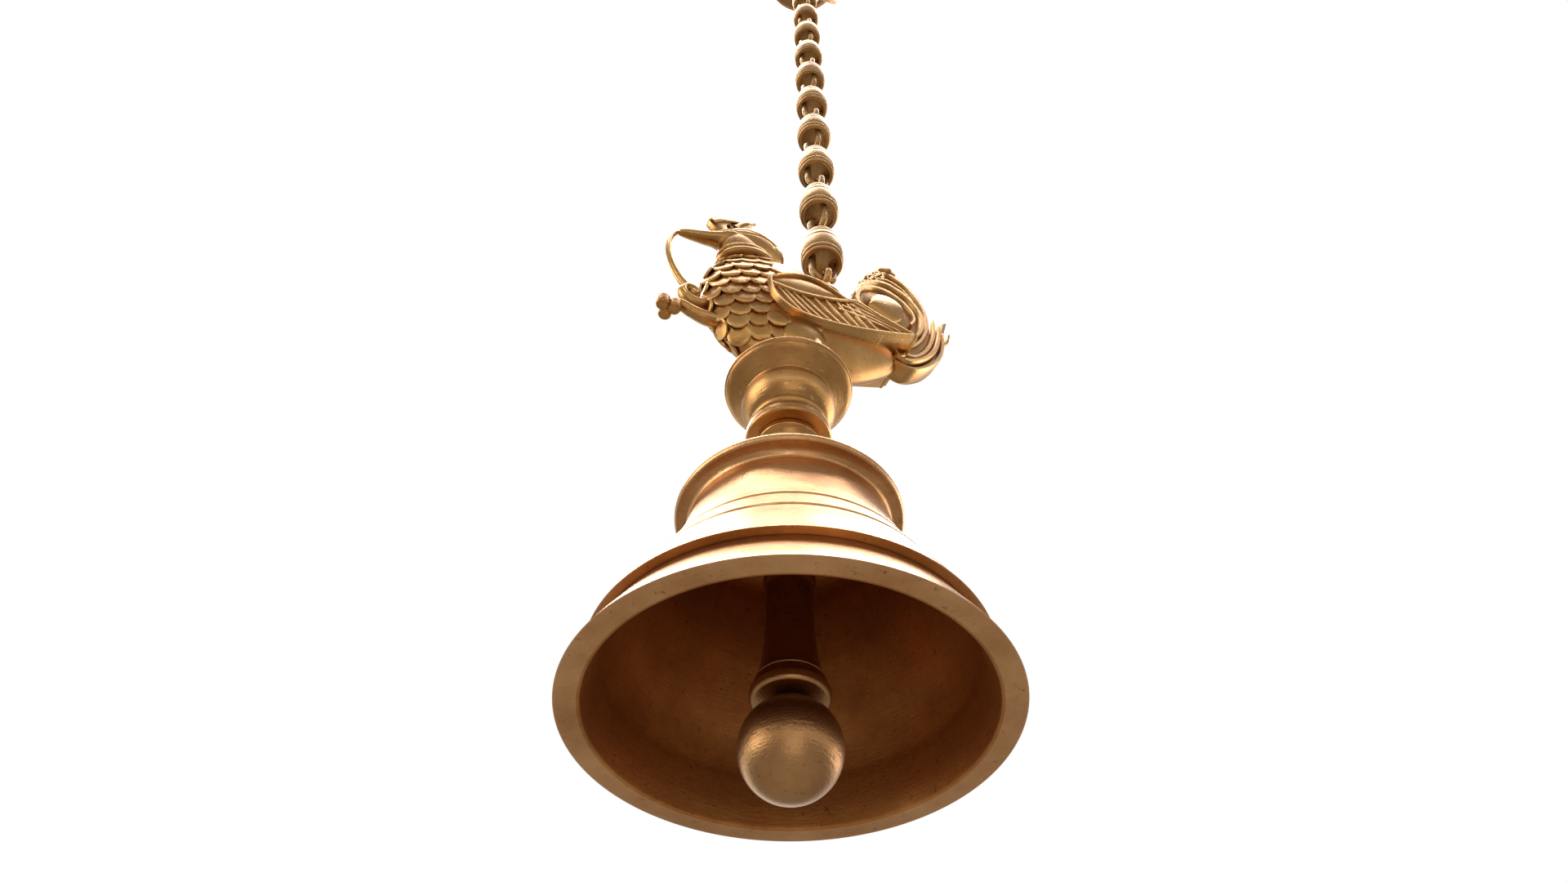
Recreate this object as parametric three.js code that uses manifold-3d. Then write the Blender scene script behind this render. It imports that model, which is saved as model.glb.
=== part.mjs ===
// Hanging temple bell: a brass bell with its clapper under a cast bird, on a beaded link chain and a ceiling hook.
// Millimetres, +Z up. The origin is the centre of the ceiling plate's top face, on the axis of the chain.
// The bird looks along -X, its tail points along +X and its left wing is on the -Y side.
// Heights inside the functions are counted from the plane of the bell's rim; lengths along the bird are counted
// from the bell's axis. The two groups at the end put them in place.

import * as THREE from 'three';
import { mergeVertices } from 'three/addons/utils/BufferGeometryUtils.js';
import Module from 'manifold-3d';

const wasm = await Module();
wasm.setup();

// ---------- driving dimensions ----------
const RIM_TO_CEILING = 1075;   // height of the ceiling above the bell's rim
const CHAIN_OFFSET = 23.1;     // the chain's axis is this far behind the bell's axis
const RIM_RADIUS = 75;
const GAP = 0.3;               // clearance kept between touching pieces

const LINK_COUNT = 10;
const LINK_PITCH = 66.07;
const FIRST_BEAD_HEIGHT = 340.3;
const LINK_WIRE = 4.5;
const LINK_HALF_WIDTH = 6.65;  // centreline of one leg to the middle of the link
const LINK_HALF_LENGTH = (LINK_PITCH + LINK_WIRE + GAP) / 2;
const BEAD_RADIUS = 13.3;
const BEAD_HALF_HEIGHT = 18;

const HOOK_WIRE = 7;
const HOOK_BEND = 16;          // centreline radius of the bend that carries the chain
const PLATE_RADIUS = 45;
const PLATE_THICKNESS = 9;

const WING_FACE = 19.4;        // outer face of each wing, from the bird's middle plane
const NECK_RING_CENTRE = new THREE.Vector3(-25, 0, 283.5);
const NECK_TILT = 0.5;         // the neck leans back by this angle

// ---------- materials ----------
const brass = (name, colour, roughness) =>
  new THREE.MeshStandardMaterial({ name, color: colour, metalness: 0.9, roughness });
const bellBrass = brass('bell_brass', 0xb07c46, 0.38);
const birdBrass = brass('bird_brass', 0xa9743f, 0.42);
const chainBrass = brass('chain_brass', 0xa87a48, 0.45);
const clapperBrass = brass('clapper_brass', 0xc39a5c, 0.35);
const fittingBrass = brass('fitting_brass', 0x9c6c3a, 0.5);

// ---------- tools shared by the pieces ----------
const vec = (x, y, z) => new THREE.Vector3(x, y, z);
const flat = (x, y) => new THREE.Vector2(x, y);

// Six times the volume inside a closed mesh: negative when its faces point inwards.
function signedVolume(geometry) {
  const [position, index] = [geometry.attributes.position, geometry.index.array];
  const corners = [vec(0, 0, 0), vec(0, 0, 0), vec(0, 0, 0)];
  let sum = 0;
  for (let i = 0; i < index.length; i += 3) {
    corners.forEach((corner, k) => corner.fromBufferAttribute(position, index[i + k]));
    sum += corners[0].dot(corners[1].cross(corners[2]));
  }
  return sum;
}

// The same surface with its shared vertices merged, its needle triangles dropped and its faces pointing out.
function closed(geometry) {
  const bare = geometry.clone();
  for (const name of Object.keys(bare.attributes)) if (name !== 'position') bare.deleteAttribute(name);
  const merged = mergeVertices(bare, 1e-4);
  const kept = [];
  const index = merged.index.array;
  for (let i = 0; i < index.length; i += 3) {
    const [a, b, c] = [index[i], index[i + 1], index[i + 2]];
    if (a !== b && b !== c && c !== a) kept.push(a, b, c);
  }
  merged.setIndex(kept);
  if (signedVolume(merged) < 0) merged.setIndex(kept.reverse());
  return merged;
}

function solid(geometry) {
  const mesh = closed(geometry);
  return new wasm.Manifold(new wasm.Mesh({
    numProp: 3,
    vertProperties: new Float32Array(mesh.attributes.position.array),
    triVerts: new Uint32Array(mesh.index.array),
  }));
}

function surface(body) {
  const mesh = body.getMesh();
  const geometry = new THREE.BufferGeometry();
  geometry.setAttribute('position', new THREE.BufferAttribute(new Float32Array(mesh.vertProperties), 3));
  geometry.setIndex(new THREE.BufferAttribute(new Uint32Array(mesh.triVerts), 1));
  return geometry;
}

// A turned piece: a closed profile of [radius, height] pairs spun about the Z axis.
function turned(profile, segments) {
  const geometry = new THREE.LatheGeometry(profile.map(([r, z]) => flat(r, z)), segments);
  return geometry.rotateX(Math.PI / 2);
}

// A solid turned piece: the outline starts and ends on the axis.
const turnedSolid = (outline, segments) =>
  turned([[0, outline[0][1]], ...outline, [0, outline[outline.length - 1][1]]], segments);

// A turned shell: its outer outline upward, its inner outline downward, closed on itself.
const turnedShell = (outer, inner, segments) => turned([...outer, ...inner, outer[0]], segments);

// A bar with an elliptic section swept along an open curve. "flatness" divides the section's second width.
function bar(curve, radius, steps, sides = 8, flatness = 1) {
  const outline = [];
  for (let k = 0; k < sides; k++) {
    const angle = (2 * Math.PI * k) / sides;
    outline.push(flat(radius * Math.cos(angle), (radius / flatness) * Math.sin(angle)));
  }
  return new THREE.ExtrudeGeometry(new THREE.Shape(outline), { steps, extrudePath: curve, bevelEnabled: false });
}

// A plate cut to an outline in the X-Z plane and centred on Y = middle.
function plate(outline, middle, thickness) {
  const geometry = new THREE.ExtrudeGeometry(outline, {
    depth: thickness, bevelEnabled: false, curveSegments: 12,
  });
  return geometry.rotateX(Math.PI / 2).translate(0, middle + thickness / 2, 0);
}

// A smooth closed outline in the X-Z plane through the given [along, height] points.
function smoothOutline(points, divisions) {
  const curve = new THREE.CatmullRomCurve3(points.map(([x, z]) => vec(x, z, 0)), true, 'catmullrom', 0.5);
  return new THREE.Shape(curve.getPoints(divisions).slice(0, -1).map((p) => flat(p.x, p.y)));
}

const curveAlong = (points) => new THREE.CatmullRomCurve3(points.map(([x, y, z]) => vec(x, y, z)));

// ---------- ceiling plate and hook ----------
function ceilingPlate() {
  const top = RIM_TO_CEILING;
  const disc = solid(turnedSolid([
    [PLATE_RADIUS - 4, top - PLATE_THICKNESS], [PLATE_RADIUS, top - PLATE_THICKNESS / 2], [PLATE_RADIUS, top],
  ], 40));
  const screwHole = new THREE.CylinderGeometry(3, 3, 3 * PLATE_THICKNESS, 12).rotateX(Math.PI / 2);
  let body = disc;
  for (let k = 0; k < 3; k++) {
    const angle = (k * 2 * Math.PI) / 3 + Math.PI / 6;
    const hole = screwHole.clone().translate(31 * Math.cos(angle), 31 * Math.sin(angle), top);
    body = body.subtract(solid(hole));
  }
  const bossTop = top - PLATE_THICKNESS - GAP;
  return { body: surface(body), bossTop };
}

// The hook lies in the bird's middle plane. Its shank comes down from the plate, swings out to -X, carries the
// chain in its bend and ends in a flattened, notched tip that flares out to +X.
function topHook(bossTop) {
  const lastLinkTop = FIRST_BEAD_HEIGHT + (LINK_COUNT - 1) * LINK_PITCH + LINK_HALF_LENGTH;
  const bendBottom = lastLinkTop - (LINK_WIRE + HOOK_WIRE) / 2 - GAP;
  const bendCentre = bendBottom + HOOK_BEND;
  const path = [[0, 0, bossTop], [0, 0, bossTop - 14], [-4, 0, bossTop - 28], [-14, 0, bendCentre + 15]];
  for (let k = 0; k <= 8; k++) {
    const angle = Math.PI + (k * Math.PI) / 8;
    path.push([HOOK_BEND * Math.cos(angle), 0, bendCentre + HOOK_BEND * Math.sin(angle)]);
  }
  path.push([19, 0, bendCentre + 11], [27, 0, bendCentre + 20]);
  const rod = solid(bar(curveAlong(path), HOOK_WIRE / 2, 30, 8));
  const boss = solid(turnedSolid([[7, bossTop - 7], [10, bossTop - 5], [10, bossTop]], 24));
  const fishtail = new THREE.Shape([
    flat(24, bendCentre + 14), flat(38, bendCentre + 20), flat(42.5, bendCentre + 25), flat(36.5, bendCentre + 27),
    flat(35.5, bendCentre + 33), flat(30, bendCentre + 30), flat(21, bendCentre + 19),
  ]);
  return surface(rod.add(boss).add(solid(plate(fishtail, 0, 4.5))));
}

// ---------- chain ----------
// One link: a long closed loop of wire, pinched where it passes the top plate of its bead.
function linkLoop() {
  const straight = LINK_HALF_LENGTH - LINK_HALF_WIDTH;
  const points = [];
  const legHeights = [-straight, -12, 4, 12, BEAD_HALF_HEIGHT - 1.5, 23, straight];
  const halfWidth = (z) => LINK_HALF_WIDTH - 2.6 * Math.exp(-(((z - BEAD_HALF_HEIGHT + 1.5) / 7) ** 2));
  for (const z of legHeights) points.push(vec(halfWidth(z), 0, z));
  for (let k = 1; k < 6; k++) {
    const angle = (k * Math.PI) / 6;
    points.push(vec(LINK_HALF_WIDTH * Math.cos(angle), 0, straight + LINK_HALF_WIDTH * Math.sin(angle)));
  }
  for (const z of [...legHeights].reverse()) points.push(vec(-halfWidth(z), 0, z));
  for (let k = 1; k < 6; k++) {
    const angle = Math.PI + (k * Math.PI) / 6;
    points.push(vec(LINK_HALF_WIDTH * Math.cos(angle), 0, -straight + LINK_HALF_WIDTH * Math.sin(angle)));
  }
  const curve = new THREE.CatmullRomCurve3(points, true, 'centripetal');
  return new THREE.TubeGeometry(curve, 32, LINK_WIRE / 2, 6, true);
}

// One bead: a hollow barrel, open below, with a top plate slotted for the link.
function beadBarrel() {
  const outer = [
    [11.9, -BEAD_HALF_HEIGHT], [12.9, -11], [BEAD_RADIUS, 0], [12.2, 8], [10.4, 13], [8.6, BEAD_HALF_HEIGHT],
  ];
  const inner = [
    [0, BEAD_HALF_HEIGHT], [0, BEAD_HALF_HEIGHT - 3], [6.8, BEAD_HALF_HEIGHT - 3.2], [9.3, 8], [10.7, 0],
    [10.5, -11], [9.7, -BEAD_HALF_HEIGHT],
  ];
  const shell = solid(turnedShell(outer, inner, 12));
  const halfSlot = LINK_HALF_WIDTH - 2.6 + LINK_WIRE / 2 + GAP + 0.15;
  const slot = new THREE.BoxGeometry(2 * halfSlot, LINK_WIRE + 2 * GAP + 0.2, 12).translate(0, 0, BEAD_HALF_HEIGHT);
  return surface(shell.subtract(solid(slot)));
}

// ---------- bird ----------
// The bird's body is an egg drawn out along X: a tall round breast in front, tapering to the tail.
const BODY_MIDDLE = 9.25;
const BODY_HALF_LENGTH = 56.75;

function birdEgg(grow) {
  const egg = new THREE.SphereGeometry(1, 22, 14);
  const position = egg.attributes.position;
  for (let i = 0; i < position.count; i++) {
    const [along, high, side] = [-position.getY(i), position.getZ(i), position.getX(i)];
    const rear = Math.max(along, 0);
    const halfHeight = 47 - 12 * along - 10 * rear * rear + grow;
    const halfWidth = 16.2 - 2.6 * along + grow;
    const height = 243 + 2 * along + high * halfHeight;
    position.setXYZ(i, BODY_MIDDLE + (BODY_HALF_LENGTH + grow) * along, side * halfWidth, height);
  }
  return solid(egg);
}

// A disc in the plane of the neck ring, "height" above it along the leaning neck.
function onNeck(geometry, height) {
  return geometry.translate(0, 0, height).rotateY(-NECK_TILT)
    .translate(NECK_RING_CENTRE.x, 0, NECK_RING_CENTRE.z);
}

function birdBody() {
  const aboveNeck = onNeck(new THREE.BoxGeometry(80, 80, 80), 40 - GAP);
  const chestHollow = new THREE.SphereGeometry(1, 14, 10).scale(35, 13.6, 41).translate(-9.4, 0, 241);
  const lightening = new THREE.CylinderGeometry(8, 8, 60, 12).rotateX(Math.PI / 2).translate(-6, 0, 205);
  return surface(birdEgg(0).subtract(solid(aboveNeck)).subtract(solid(chestHollow)).subtract(solid(lightening)));
}

function neckRing() {
  const ring = turnedShell([[14.5, 0], [17, 1.5], [14.8, 3], [16.2, 4.6], [14.4, 6]], [[9, 6], [9, 0]], 20);
  return onNeck(ring.scale(1, 0.93, 1), 0);
}

// The bill's oval sections from its tip to the cheek: [along, height of the middle, half width, half height].
const BILL = [
  [-65.6, 286.4, 1.7, 2.2], [-63, 287.3, 2.5, 3], [-57, 289.7, 3.3, 3.8], [-50, 292.8, 4.2, 4.4],
  [-44, 296, 5.2, 5.4], [-36, 298, 7.5, 7.5],
];

function bill() {
  const spans = BILL.length - 1;
  const form = new THREE.CylinderGeometry(1, 1, spans, 12, spans).rotateZ(Math.PI / 2);
  const position = form.attributes.position;
  for (let i = 0; i < position.count; i++) {
    const [along, height, halfWidth, halfHeight] = BILL[Math.round(position.getX(i) + spans / 2)];
    position.setXYZ(i, along, position.getZ(i) * halfWidth, height + position.getY(i) * halfHeight);
  }
  return form;
}

function birdHead() {
  const neck = onNeck(turnedSolid([[13.6, 6 + GAP], [12.8, 13], [10, 19]], 16).scale(1, 0.9, 1), 0);
  const skull = new THREE.SphereGeometry(1, 16, 10).scale(19, 10.6, 15.5).translate(-22, 0, 300);
  const cheek = new THREE.SphereGeometry(1, 12, 8).scale(12.4, 8.2, 8.8).translate(-33.4, 0, 298);
  const hollow = new THREE.SphereGeometry(1, 12, 8).scale(15.5, 8, 12).translate(-22, 0, 299.5);
  const neckBore = onNeck(new THREE.CylinderGeometry(8.5, 8.5, 26, 14).rotateX(Math.PI / 2), 6);
  const whole = solid(neck).add(solid(skull)).add(solid(cheek)).add(solid(bill()));
  const belowRing = onNeck(new THREE.BoxGeometry(120, 60, 40), 6 + GAP - 20);
  return surface(whole.subtract(solid(hollow)).subtract(solid(neckBore)).subtract(solid(belowRing)));
}

function headCrest() {
  const outline = smoothOutline([
    [-49.5, 309.5], [-49.8, 314], [-46, 318.6], [-38, 324], [-30, 329.5], [-22.5, 332.8], [-22.6, 327], [-24, 318],
    [-26, 313], [-34, 309.6], [-42, 303],
  ], 36);
  const head = solid(birdHead());
  const lifted = head.translate([-GAP, 0, GAP]);
  return surface(solid(plate(outline, 0, 5)).subtract(head).subtract(lifted));
}

// A thin stem in the beak that arches down to the breast and curls on the scroll.
function beakVine() {
  const path = curveAlong([
    [-67.6, 0, 287], [-69.3, 0, 277], [-69.8, 0, 266], [-67.5, 0, 254], [-63, 0, 243.5], [-58.6, 0, 236.5],
  ]);
  return bar(path, 1.5, 14, 6, 0.7);
}

function chestScroll() {
  const path = curveAlong([
    [-44.9, 0, 227], [-49, 0, 222.5], [-54.5, 0, 222.6], [-58, 0, 227.5], [-56.2, 0, 232], [-51.5, 0, 231.5],
  ]);
  return surface(solid(bar(path, 2.9, 16, 6)).subtract(birdEgg(GAP)));
}

function chestTrefoil() {
  const arm = solid(bar(curveAlong([[-41, 0, 213.6], [-50, 0, 214], [-58, 0, 215.6], [-64, 0, 212]]), 3, 10, 6));
  const lobes = [[-2.9, -1.7], [2.9, -1.7], [0, 2.8]].map(([x, y]) =>
    solid(new THREE.CylinderGeometry(3.3, 3.3, 7, 12).rotateX(Math.PI / 2).translate(-64 + x, y, 208.6)));
  return surface(lobes.reduce((sum, lobe) => sum.add(lobe), arm).subtract(birdEgg(GAP)));
}

// ---------- wings ----------
// A thick slab with a flat underside that ends in a sharp rear corner. side is -1 for the left wing, 1 for the right.
const WING_OUTLINE = [
  [-19.6, 246], [-11, 254.6], [-1, 261], [8, 262.8], [17, 260.6], [25, 256.4], [32, 258.6], [46, 254.4],
];

function wing(side) {
  const outline = new THREE.Shape(WING_OUTLINE.map(([x, z]) => flat(x, z)));
  outline.lineTo(69.5, 249.6);
  outline.bezierCurveTo(52, 240, 22, 221.5, -3, 221);
  outline.bezierCurveTo(-14, 221, -21.5, 232, -19.6, 246);
  const thickness = 13;
  const slab = solid(plate(outline, side * (WING_FACE - thickness / 2), thickness));
  const recess = new THREE.Shape([flat(-17, 238.6), flat(2, 241), flat(26, 250.4), flat(32, 255), flat(58, 249.6)]);
  recess.bezierCurveTo(44, 240, 20, 225.5, -3, 224);
  recess.bezierCurveTo(-11, 224, -17, 231, -17, 238.6);
  const panel = solid(plate(recess, side * (WING_FACE + 3), 9));
  return surface(slab.subtract(panel).subtract(birdEgg(GAP)));
}

// Feathers that lie in the recess of a wing: a sheet with diagonal ridges.
function wingFeathers(side) {
  const outline = new THREE.Shape([flat(-16, 238), flat(2, 240.4), flat(26, 249.6), flat(32, 254), flat(55, 249)]);
  outline.bezierCurveTo(42, 240, 20, 226.6, -3, 225);
  outline.bezierCurveTo(-10, 225, -16, 231, -16, 238);
  const sheet = solid(plate(outline, side * (WING_FACE - 0.9), 0.9));
  return surface(sheet);
}

// ---------- tail ----------
const TAIL_CENTRE = [58, 288];
const TAIL_RADIUS = 20;
const TAIL_JOINT = 297.5;         // height at which the crest sits on the root

function scrollSpace() {
  const [x, z] = TAIL_CENTRE;
  return solid(new THREE.CylinderGeometry(TAIL_RADIUS + GAP, TAIL_RADIUS + GAP, 60, 28).translate(x, 0, z));
}

function tailRoot() {
  const outline = smoothOutline([
    [48, 268], [56, 256], [66, 244.5], [75, 254], [84.5, 268], [90.5, 284], [91.5, 296], [88, 306], [74, 300],
    [58, 290], [49, 280],
  ], 33);
  const above = new THREE.BoxGeometry(120, 60, 60).translate(60, 0, TAIL_JOINT + 30);
  return surface(
    solid(plate(outline, 0, 12)).subtract(scrollSpace()).subtract(birdEgg(GAP)).subtract(solid(above)));
}

// The tail's rolled plume: a round drum with a step on each face and a domed leaf in the middle.
function tailScroll() {
  const outline = [
    [8, -13], [12.5, -11.6], [14, -9.6], [TAIL_RADIUS - 3.4, -9.6], [TAIL_RADIUS, -8.6], [TAIL_RADIUS, 8.6],
    [TAIL_RADIUS - 3.4, 9.6], [14, 9.6], [12.5, 11.6], [8, 13],
  ];
  return turnedSolid(outline, 28).rotateX(Math.PI / 2).translate(TAIL_CENTRE[0], 0, TAIL_CENTRE[1]);
}

function tailCrest() {
  const outline = smoothOutline([
    [41, 292], [44, 306], [49, 318], [53, 330], [59, 339.5], [68, 341], [78, 338], [86, 327], [91, 312], [90, 292],
    [74, 284], [56, 282],
  ], 44);
  const below = new THREE.BoxGeometry(120, 60, 60).translate(60, 0, TAIL_JOINT + GAP - 30);
  return surface(solid(plate(outline, 0, 12)).subtract(scrollSpace()).subtract(solid(below)));
}

function tailKnob() {
  return turnedSolid([[6.5, 341.6], [7.6, 343.4], [5.2, 345], [5.4, 346.8], [2.4, 350.5]], 20).translate(67, 0, 0);
}

// Long feathers that sweep up behind the scroll, each a curved blade; the last ends in a notched tip.
function tailFeathers() {
  const path = curveAlong([[69, 0, 239.5], [79.5, 0, 250], [89.5, 0, 265], [95.4, 0, 284], [95.8, 0, 303]]);
  const blade = solid(bar(path, 7, 14, 8, 3.2));
  const notch = new THREE.Shape([
    flat(95.4, 284), flat(99, 287.5), flat(104, 299), flat(106.8, 312.5), flat(101.5, 308), flat(100.5, 303),
    flat(97, 304.5),
  ]);
  return surface(blade.add(solid(plate(notch, 0, 7))).subtract(birdEgg(GAP)));
}

// ---------- legs, perch and the turned pieces under the bird ----------
function perchBlock() {
  const block = new THREE.BoxGeometry(26, 19, 24).translate(-4, 0, 193);
  const rodSpace = new THREE.CylinderGeometry(7.5, 7.5, 40, 16).rotateX(Math.PI / 2).translate(-4, 0, 190);
  return surface(solid(block).subtract(birdEgg(GAP)).subtract(solid(rodSpace)));
}

function birdLeg(side) {
  const path = curveAlong([[8, side * 17.4, 216], [8, side * 18, 205], [7, side * 17.2, 193], [5.6, side * 16.6, 182.2]]);
  return surface(solid(bar(path, 3.2, 8, 8)).subtract(birdEgg(GAP)));
}

function perchPlate() {
  return turnedShell([[6, 178.2], [26.2, 178.2], [27, 179.2], [27, 180.8], [6, 180.8]], [], 28);
}

function cup() {
  const outer = [[6, 154.9], [15, 154.9], [18.6, 158], [21.2, 163], [21.6, 166.4], [20.4, 170], [22.6, 172.6],
    [27.4, 175.4], [29.1, 176.6], [29.4, 178.4], [29.9, 180.6]];
  const inner = [[27.4, 180.6], [27.3, 177.1], [20.4, 173.8], [17.6, 171], [18.6, 166.4], [18, 163.4], [15.6, 159.4],
    [13.5, 157.6], [6, 157.6]];
  return turnedShell(outer, inner, 20);
}

const thinRing = () => turnedShell([[6, 147.8], [15.4, 147.8], [17.2, 150], [17.2, 154.6], [6, 154.6]], [], 24);
const neckDisc = () => turnedShell([[6, 141.3], [18.8, 141.3], [18.8, 146.2], [18, 147.5], [6, 147.5]], [], 24);
const neckSpool = () => turnedShell(
  [[6, 113], [13.6, 113], [13.8, 116], [10.4, 119], [9.4, 127], [10.4, 135], [13.6, 138], [13.8, 141], [6, 141]], [], 20);

// ---------- bell ----------
function bell() {
  const outer = [
    [RIM_RADIUS, 0], [70.6, 8], [65.5, 17.2], [69, 17.4], [61.5, 31], [55.2, 41.5], [48.7, 54.3], [46, 60.5],
    [42.5, 70], [40.2, 80], [38.7, 85], [44.1, 88], [44.4, 91.5], [34, 96], [19, 107], [13.6, 112.7], [6, 112.7],
  ];
  const inner = [
    [6, 109.6], [15, 107.6], [28.5, 97.2], [36.4, 89], [38.2, 79], [40.5, 69.4], [44.2, 59], [47, 52.8],
    [53.6, 39.8], [59.4, 29.6], [62.6, 21], [63.6, 15], [66.6, 0],
  ];
  return turnedShell(outer, inner, 32);
}

// ---------- bolt, nut and clapper ----------
const BOLT_EYE_HEIGHT = 95;
const EYE_RADIUS = 6.2;        // centreline radius of each small eye
const EYE_WIRE = 4.4;
const RING_RADIUS = 7;
const RING_TOP = BOLT_EYE_HEIGHT - EYE_RADIUS + EYE_WIRE + GAP;
const RING_CENTRE = RING_TOP - RING_RADIUS;
const CLAPPER_TOP = RING_CENTRE - RING_RADIUS + EYE_WIRE + GAP;

// A wire ring standing in the Y-Z plane, at its centre's height.
const uprightRing = (radius, wire, height) =>
  new THREE.TorusGeometry(radius, wire / 2, 6, 16).rotateY(Math.PI / 2).translate(0, 0, height);

// The long bolt that ties bell, spool, disc, ring and cup together, with the clapper's eye at its foot.
function eyeBolt() {
  const shank = solid(turnedSolid([[4, BOLT_EYE_HEIGHT + 6], [5.6, BOLT_EYE_HEIGHT + 9], [5.6, 169]], 20));
  return surface(shank.add(solid(uprightRing(EYE_RADIUS, EYE_WIRE, BOLT_EYE_HEIGHT))));
}

function boltNut() {
  const nut = new THREE.CylinderGeometry(11, 11, 7, 6).rotateX(Math.PI / 2).translate(0, 0, 161.5);
  const hole = new THREE.CylinderGeometry(5.9, 5.9, 20, 20).rotateX(Math.PI / 2).translate(0, 0, 161.5);
  return surface(solid(nut).subtract(solid(hole)));
}

const clapperRing = () => uprightRing(RING_RADIUS, EYE_WIRE, RING_CENTRE).rotateZ(Math.PI / 2);

function clapperRod() {
  const shaft = solid(turnedSolid([[12.4, 14.4], [11, 17], [9.6, 26], [8.7, 36], [8.7, 56], [9.6, 60], [9, 63], [4.4, 66],
    [3.4, 71.5]], 18));
  return surface(shaft.add(solid(uprightRing(EYE_RADIUS, EYE_WIRE, CLAPPER_TOP - EYE_RADIUS))));
}

const clapperCollar = () => turnedSolid([[12, 6.4], [13.5, 7.6], [13.5, 10.6], [12.4, 14]], 28);
const BALL_RADIUS = 16.8;
const BALL_HEIGHT = -10.4;

function clapperBall() {
  const ball = new THREE.SphereGeometry(BALL_RADIUS, 16, 12).rotateX(Math.PI / 2).translate(0, 0, BALL_HEIGHT);
  const aboveCollar = new THREE.BoxGeometry(50, 50, 20).translate(0, 0, 6.1 + 10);
  return surface(solid(ball).subtract(solid(aboveCollar)));
}

// The eye on the bird's back that the lowest link holds.
const BACK_EYE_RADIUS = 6.1;
const BACK_EYE_TOP = FIRST_BEAD_HEIGHT - LINK_HALF_LENGTH + LINK_WIRE + GAP;

function backEye() {
  const ring = solid(uprightRing(BACK_EYE_RADIUS, LINK_WIRE, BACK_EYE_TOP - BACK_EYE_RADIUS));
  const base = solid(turnedSolid([[9, 282], [8, 292], [5.5, 296.5]], 20));
  return surface(ring.add(base).translate([CHAIN_OFFSET, 0, 0]).subtract(birdEgg(GAP)));
}

// ---------- the whole object ----------
const object = new THREE.Group();
const chainGroup = new THREE.Group();
chainGroup.position.set(0, 0, -RIM_TO_CEILING);
const bellGroup = new THREE.Group();
bellGroup.position.set(-CHAIN_OFFSET, 0, -RIM_TO_CEILING);
object.add(chainGroup, bellGroup);

function put(group, name, geometry, material) {
  const mesh = new THREE.Mesh(closed(geometry), material);
  mesh.name = name;
  group.add(mesh);
  return mesh;
}

const ceiling = ceilingPlate();
put(chainGroup, 'ceiling_plate', ceiling.body, fittingBrass);
put(chainGroup, 'top_hook', topHook(ceiling.bossTop), fittingBrass);

const link = linkLoop();
const bead = beadBarrel();
for (let k = 1; k <= LINK_COUNT; k++) {
  const number = String(k).padStart(2, '0');
  const height = FIRST_BEAD_HEIGHT + (k - 1) * LINK_PITCH;
  const turn = k % 2 === 0 ? Math.PI / 2 : 0;
  for (const [name, geometry] of [['link_', link], ['bead_', bead]]) {
    const mesh = put(chainGroup, name + number, geometry, chainBrass);
    mesh.position.z = height;
    mesh.rotation.z = turn;
  }
}

const birdPieces = {
  back_eye: backEye(),
  bird_body: birdBody(),
  neck_ring: neckRing(),
  bird_head: birdHead(),
  head_crest: headCrest(),
  beak_vine: beakVine(),
  chest_scroll: chestScroll(),
  chest_trefoil: chestTrefoil(),
  wing_left: wing(-1),
  wing_right: wing(1),
  wing_feathers_left: wingFeathers(-1),
  wing_feathers_right: wingFeathers(1),
  tail_root: tailRoot(),
  tail_scroll: tailScroll(),
  tail_crest: tailCrest(),
  tail_knob: tailKnob(),
  tail_feathers: tailFeathers(),
  leg_left: birdLeg(-1),
  leg_right: birdLeg(1),
  perch_block: perchBlock(),
};
for (const [name, geometry] of Object.entries(birdPieces)) put(bellGroup, name, geometry, birdBrass);

const standPieces = {
  perch_plate: perchPlate(),
  cup: cup(),
  thin_ring: thinRing(),
  neck_disc: neckDisc(),
  neck_spool: neckSpool(),
  bell: bell(),
};
for (const [name, geometry] of Object.entries(standPieces)) put(bellGroup, name, geometry, bellBrass);

put(bellGroup, 'eye_bolt', eyeBolt(), fittingBrass);
put(bellGroup, 'bolt_nut', boltNut(), fittingBrass);
put(bellGroup, 'clapper_ring', clapperRing(), clapperBrass);
put(bellGroup, 'clapper_rod', clapperRod(), clapperBrass);
put(bellGroup, 'clapper_collar', clapperCollar(), clapperBrass);
put(bellGroup, 'clapper_ball', clapperBall(), clapperBrass);

export default object;
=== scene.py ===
"""A hanging brass temple bell: bell and clapper under a cast bird, on a beaded chain and a ceiling hook."""
import math

import bmesh
import bpy
import numpy as np
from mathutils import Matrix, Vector


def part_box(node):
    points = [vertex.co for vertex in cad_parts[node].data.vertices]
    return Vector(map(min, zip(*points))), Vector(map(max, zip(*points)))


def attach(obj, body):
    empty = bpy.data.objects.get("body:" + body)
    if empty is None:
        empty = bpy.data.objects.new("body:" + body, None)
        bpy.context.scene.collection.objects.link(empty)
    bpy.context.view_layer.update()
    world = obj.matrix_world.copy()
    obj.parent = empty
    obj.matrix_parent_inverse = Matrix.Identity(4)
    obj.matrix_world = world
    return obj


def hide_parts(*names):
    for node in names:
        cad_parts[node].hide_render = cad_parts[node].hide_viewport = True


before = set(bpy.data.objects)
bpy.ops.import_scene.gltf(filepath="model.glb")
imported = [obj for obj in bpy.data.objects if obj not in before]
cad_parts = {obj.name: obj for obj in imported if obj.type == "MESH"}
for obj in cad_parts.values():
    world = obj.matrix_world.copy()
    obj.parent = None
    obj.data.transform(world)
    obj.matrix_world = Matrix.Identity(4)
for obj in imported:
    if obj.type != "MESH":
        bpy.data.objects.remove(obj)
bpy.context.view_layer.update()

# ------------------------------------------------------------------------------
# The frame. The bell's axis and rim plane come from the imported bell; the chain hangs on the vertical through the
# origin.
# Shapes below are worked out in millimetres: along the bird from the bell's axis, across it, up from the rim.
MM = 0.001
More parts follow.
